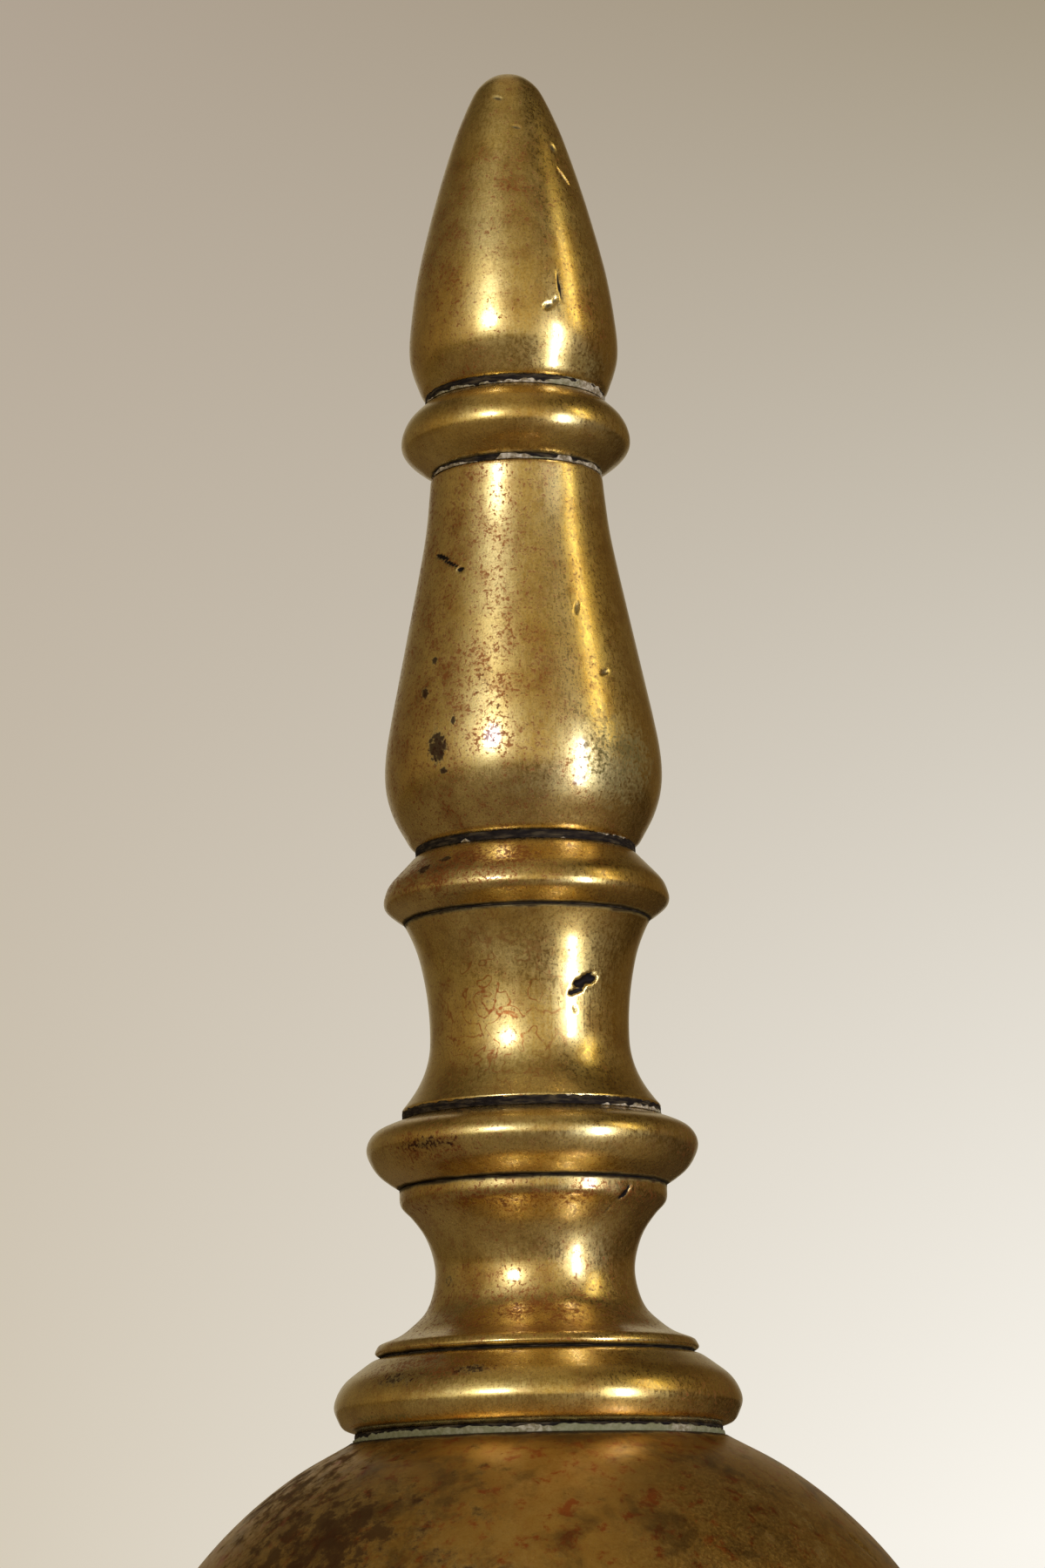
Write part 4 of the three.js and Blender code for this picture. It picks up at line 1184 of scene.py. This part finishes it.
def make_world():
    """What the metal reflects: a dim warm room with a pale wall behind.

    The camera sees the pale wall all round.
    """
    world = bpy.data.worlds.new("room")
    bpy.context.scene.world = world
    world.use_nodes = True
    tree = world.node_tree
    tree.nodes.clear()
    way = add(tree, "ShaderNodeTexCoord").outputs["Generated"]
    split = add(tree, "ShaderNodeSeparateXYZ", {0: way})
    side, back, up = split.outputs
    azimuth = maths(tree, "ARCTAN2", side, times(tree, back, -1.0))
    room = mix(tree, ramp(tree, azimuth, -0.6, -1.5), ROOM_FRONT, ROOM_LEFT)
    room = mix(tree, ramp(tree, azimuth, 0.3, 1.15), room, ROOM_RIGHT)
    room = mix(tree, 1.0, room, ramp(tree, up, -0.45, -0.05, 0.7, 1.0), "MULTIPLY")
    room = mix(tree, 1.0, room, ramp(tree, up, 0.3, 0.85, 1.0, 0.42), "MULTIPLY")
    room = mix(tree, 1.0, room, ramp(tree, azimuth, -1.6, -2.1, 1.0, 0.62), "MULTIPLY")
    # the wall behind shows more on the left
    behind = minus(tree, maths(tree, "ABSOLUTE", azimuth), ramp(tree, side, 0.0, 0.2, 0.0, 0.15))
    room = mix(tree, ramp(tree, behind, 2.5, 2.95), room, ROOM_BACK)
    room = mix(tree, ramp(tree, up, 0.86, 0.98), room, ROOM_CEILING)
    # light on the wall over the left lamp
    aside = ramp(tree, maths(tree, "ABSOLUTE", plus(tree, azimuth, 0.56)), 0.0, 0.62, 1.0, 0.0)
    above = times(tree, ramp(tree, up, -0.25, 0.4), ramp(tree, up, 0.45, 0.8, 1.0, 0.0))
    glow = times(tree, aside, above)
    room = mix(tree, glow, room, ROOM_GLOW, "ADD")
    wall = pale_wall(tree, side, up)
    path = add(tree, "ShaderNodeLightPath")
    seen = mix(tree, path.outputs["Is Camera Ray"], room, wall)
    background = add(tree, "ShaderNodeBackground", {"Color": seen, "Strength": 1.0})
    out = add(tree, "ShaderNodeOutputWorld")
    tree.links.new(background.outputs[0], out.inputs[0])


FLOOR_RADIUS = 14.0
# the floor's colours as the metal sees it hold painted light and shade: lighter to the left, darker to the
# right
FLOOR_FRONT = linear(148, 130, 96)  # as the metal sees it
FLOOR_LEFT = linear(170, 154, 122)
FLOOR_RIGHT = linear(112, 96, 70)
FLOOR_LIT = linear(204, 198, 186)  # near the andiron, as the camera sees it, and what it glows with
FLOOR_GLOW = linear(176, 172, 164)
FLOOR_DROP = 0.0005
BLACK = (0, 0, 0, 1)


def make_floor():
    mesh = bpy.data.meshes.new("floor")
    shape = bmesh.new()
    bmesh.ops.create_circle(shape, cap_ends=True, segments=96, radius=FLOOR_RADIUS)
    shape.to_mesh(mesh)
    shape.free()
    floor = linked("floor", mesh)
    floor.location.z = -FLOOR_DROP
    material, tree, shader = new_material("pale_floor")
    # pale to the camera and darker in what the metal reflects; it keeps shadows near the andiron, and further
    # out it has the wall's colour
    path = add(tree, "ShaderNodeLightPath")
    seen = path.outputs["Is Camera Ray"]
    place = add(tree, "ShaderNodeTexCoord").outputs["Object"]
    out = add(tree, "ShaderNodeVectorMath", {0: place}, operation="LENGTH").outputs["Value"]
    far = ramp(tree, out, 0.5, 1.2)
    across, ahead, _ = add(tree, "ShaderNodeSeparateXYZ", {0: place}).outputs
    azimuth = maths(tree, "ARCTAN2", across, times(tree, ahead, -1.0))
    # painted light and shade on the floor the metal reflects: lighter to the left, darker to the right, and
    # painted shade close round the andiron
    dim = mix(tree, ramp(tree, azimuth, 0.0, -0.6), FLOOR_FRONT, FLOOR_LEFT)
    dim = mix(tree, ramp(tree, azimuth, 1.4, 2.1), dim, FLOOR_RIGHT)
    dim = mix(tree, 1.0, dim, ramp(tree, out, 0.15, 0.55, 0.6, 1.0), "MULTIPLY")
    lit = mix(tree, far, FLOOR_LIT, BLACK)
    tree.links.new(mix(tree, seen, dim, lit), shader.inputs["Base Color"])
    glow = mix(tree, far, FLOOR_GLOW, WALL_LOW)
    tree.links.new(mix(tree, seen, BLACK, glow), shader.inputs["Emission Color"])
    shader.inputs["Emission Strength"].default_value = 1.0
    shader.inputs["Specular IOR Level"].default_value = 0.0
    shader.inputs["Roughness"].default_value = 0.9
    mesh.materials.append(material)


make_camera()
make_world()
make_light()
make_floor()
plain_brass = brass("patinated_brass")
brown_brass = brass("ball_brass", 0.75)
make_column(plain_brass, brown_brass)
make_seams()
make_base(plain_brass)
make_log_stop(plain_brass, brown_brass)
make_iron(iron("wrought_iron"), iron("threaded_iron", 0.6))
bpy.context.scene.view_settings.view_transform = "Standard"
